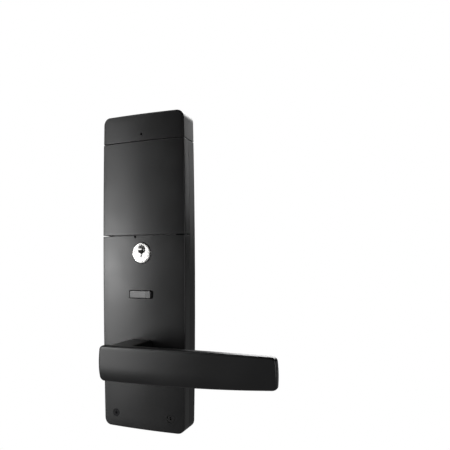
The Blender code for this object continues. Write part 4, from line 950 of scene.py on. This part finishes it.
# ---------------------------------------------------------------------------------------------------------
# The steel that carries the lock: pressed mounting plate against the door, two long bolts through it with
# rolled threads, and the square spindle. All zinc plated, with the slightly cloudy look of the bath.
BOLT_RADIUS, BOLT_ROOT, BOLT_PITCH = 2.5 * MM, 2.1 * MM, 0.8 * MM
BOLT_END, BOLT_SEAT, BOLT_HEAD, BOLT_HEAD_RADIUS = -42 * MM, 2.3 * MM, 2.4 * MM, 4.5 * MM
BOLT_UPPER, BOLT_LOWER = 100 * MM, -106 * MM
BOLT_DOME = ((0, 1.3 * MM), (FINE, 0.7 * MM), (1 * MM, 0.2 * MM), (2 * MM, 0))

zinc_plate = plated(
    "zinc_plate", (0.58, 0.6, 0.62), (0.44, 0.45, 0.44), (0.3, 0.46), (1.0, 1.0, 0.04), 0.000006, 45.0
)
zinc_turned = plated(
    "zinc_turned", (0.6, 0.61, 0.62), (0.46, 0.46, 0.45), (0.28, 0.42), (0.05, 1.0, 0.05), 0.000004, 90.0
)

bolt = thread("mounting_bolt_upper_threaded", BOLT_ROOT, BOLT_RADIUS, BOLT_PITCH, BOLT_END, 0)
top = BOLT_SEAT + BOLT_HEAD
head = [(BOLT_ROOT, -2 * MM), (BOLT_ROOT, BOLT_SEAT), (BOLT_HEAD_RADIUS - FINE, BOLT_SEAT)]
head += [(BOLT_HEAD_RADIUS, BOLT_SEAT + FINE)]
head += [(BOLT_HEAD_RADIUS - inward, top - below) for inward, below in BOLT_DOME]
combine(bolt, turned("bolt_head", head, steps=48), "UNION")
cross_recess(bolt, 0, 0, top, BOLT_HEAD_RADIUS, RECESS_SINK)
lower_bolt = put(copied(bolt, "mounting_bolt_lower_threaded"), (0, 0, BOLT_LOWER))
put(bolt, (0, 0, BOLT_UPPER))
dress(bolt, zinc_turned, "zinc_steel", "escutcheon", "mounting_bolt_upper")
dress(lower_bolt, zinc_turned, "zinc_steel", "escutcheon", "mounting_bolt_lower")
clad(zinc_plate, "mounting_plate")
clad(zinc_turned, "spindle", "hub_disc", "cylinder_cam")
for name in ("spring_cup_screw", "board_screw", "cap_screw"):
    clad(zinc_turned, f"{name}_left", f"{name}_right")

# ---------------------------------------------------------------------------------------------------------
# Behind the lever: nylon bush, moulded spring cup, and the springs, wound or pressed from hard steel.
nylon = coat("nylon", (0.62, 0.61, 0.57), (0.70, 0.69, 0.66), (0.42, 0.52), 1800, 0.000008, patch=120.0)
cup_plastic = coat(
    "cup_plastic", (0.035, 0.035, 0.038), (0.05, 0.05, 0.054), (0.45, 0.58), 2400, 0.00001, patch=60.0
)
spring_steel = plated(
    "spring_steel", (0.42, 0.42, 0.44), (0.3, 0.28, 0.26), (0.24, 0.4), (0.3, 0.3, 0.3), 0.000003, 220.0
)
clad(nylon, "lever_bush", "harness_socket")
clad(cup_plastic, "spring_cup", "snib_switch", "buzzer")
clad(spring_steel, "return_spring", "circlip", "snib_pin", "snib_leaf_spring")

# ---------------------------------------------------------------------------------------------------------
# Battery pack: a moulded tray with four cells side by side, every other one upside down, each in a plain
# printed sleeve over its steel can, between pressed nickel contacts and their conical springs.
CELL_RADIUS, CELL_LENGTH, CELL_NUB = 7.1 * MM, 49.2 * MM, 1.1 * MM
SLEEVE_BAND, SLEEVE_LAP, SLEEVE_SHINE = 13 * MM, 0.5 * MM, 0.35

tray_plastic = coat(
    "tray_plastic", (0.03, 0.03, 0.032), (0.043, 0.043, 0.046), (0.4, 0.55), 2400, 0.000012, patch=50.0
)
contact_nickel = plated(
    "contact_nickel", (0.70, 0.68, 0.62), (0.55, 0.53, 0.48), (0.2, 0.36), (0.05, 1.0, 1.0), 0.000003,
    150.0,
)
clad(tray_plastic, "battery_tray")
clad(contact_nickel, *[name for name in nodes if name.startswith("contact_")])

cell_can = plated(
    "cell_can", (0.66, 0.66, 0.66), (0.5, 0.5, 0.49), (0.22, 0.34), (0.2, 0.2, 1.0), 0.000003, 200.0
)


def sleeve(name, height, upward):
    """Shrunk sleeve: graphite with one copper-coloured band at the end with the nub."""
    made, tree, shader = surface(name, SLEEVE_SHINE)
    here = placed(tree, skin, Grain=1500.0, Patch=110.0)
    up = add(tree, "SeparateXYZ", {"Vector": add(tree, "TexCoord").outputs["Object"]}).outputs["Z"]
    test = "GREATER_THAN" if upward else "LESS_THAN"
    band = add(tree, "Math", {0: up, 1: height}, operation=test)
    plain = blend_of(tree, here.outputs["Shade"], (0.05, 0.052, 0.06), (0.07, 0.072, 0.08))
    tree.links.new(
        blend_of(tree, band.outputs["Value"], plain, (0.52, 0.27, 0.14)), shader.inputs["Base Color"]
    )
    tree.links.new(blend_of(tree, here.outputs["Shade"], 0.22, 0.34), shader.inputs["Roughness"])
    raise_up(tree, shader, here.outputs["Height"], 0.000004)
    return made


r, tall = CELL_RADIUS, CELL_LENGTH
cell_side = [
    (2 * MM, 0.25 * MM), (r - 2.2 * MM, 0.25 * MM), (r - 1.9 * MM, 0), (r - 0.7 * MM, 0),
    (r - 0.35 * MM, 0.25 * MM),
]
cell_side += [(r - 0.1 * MM, 0.6 * MM), (r, 1 * MM), (r, tall - 1.4 * MM), (r - 0.25 * MM, tall - 0.9 * MM)]
cell_side += [(r - 0.9 * MM, tall - 0.6 * MM), (r - 1.3 * MM, tall - 0.9 * MM), (2.8 * MM, tall - 0.6 * MM)]
cell_side += [(2.7 * MM, tall + CELL_NUB - 0.4 * MM), (2.3 * MM, tall + CELL_NUB)]
cell = turned("cell", cell_side, steps=48, upright=True)
for number in range(1, 5):
    low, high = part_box(f"battery_{number}")
    upward = number % 2 == 1
    twin = copied(cell, f"battery_{number}_cell")
    middle = Vector(((low[0] + high[0]) / 2, (low[1] + high[1]) / 2))
    put(twin, (*middle, low[2] if upward else high[2]), (0 if upward else math.pi, 0, 0))
    band_at = high[2] - SLEEVE_BAND if upward else low[2] + SLEEVE_BAND
    dress(
        twin, sleeve(f"cell_sleeve_{number}", band_at, upward), "cell_wrap", "escutcheon",
        f"battery_{number}",
    )
    twin.data.materials.append(cell_can)
    for face in twin.data.polygons:
        if (Vector(face.center[:2]) - middle).length < CELL_RADIUS - SLEEVE_LAP:
            face.material_index = 1
spare = cell.data
bpy.data.objects.remove(cell)
bpy.data.meshes.remove(spare)

# ---------------------------------------------------------------------------------------------------------
# Control board and its leads: green solder mask over glass cloth, dark moulded chips, and two PVC leads.
BOARD_FACE = 8.95 * MM
TRACE_SCALE, TRACE_DEPTH = 520.0, 0.00002

board, tree, shader = surface("board_mask")
board_place = add(tree, "TexCoord").outputs["Object"]
out_at = add(tree, "SeparateXYZ", {"Vector": board_place}).outputs["Y"]
chips = add(tree, "Math", {0: out_at, 1: -BOARD_FACE}, operation="LESS_THAN")
traces = add(
    tree, "TexVoronoi", {"Vector": board_place, "Scale": TRACE_SCALE}, distance="MANHATTAN", feature="F1"
)
lines_here = add(tree, "MapRange", {"Value": traces.outputs["Distance"], "From Min": 0.42, "From Max": 0.5})
mask_green = blend_of(tree, lines_here.outputs["Result"], (0.012, 0.09, 0.035), (0.02, 0.14, 0.06))
tree.links.new(
    blend_of(tree, chips.outputs["Value"], mask_green, (0.018, 0.018, 0.019)), shader.inputs["Base Color"]
)
board_skin = placed(tree, skin, Grain=1900.0, Patch=90.0)
tree.links.new(blend_of(tree, board_skin.outputs["Shade"], 0.32, 0.5), shader.inputs["Roughness"])
raise_up(tree, shader, traces.outputs["Distance"], TRACE_DEPTH, 0.6)
clad(board, "control_board")
lead_red = coat(
    "lead_red", (0.42, 0.025, 0.025), (0.5, 0.035, 0.03), (0.34, 0.46), 1600, 0.000004, patch=150.0
)
lead_black = coat(
    "lead_black", (0.018, 0.018, 0.018), (0.026, 0.026, 0.026), (0.34, 0.46), 1600, 0.000004, patch=150.0
)
clad(lead_red, "battery_lead_positive")
clad(lead_black, "battery_lead_negative")

# ---------------------------------------------------------------------------------------------------------
# The visual model's box.
low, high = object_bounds()
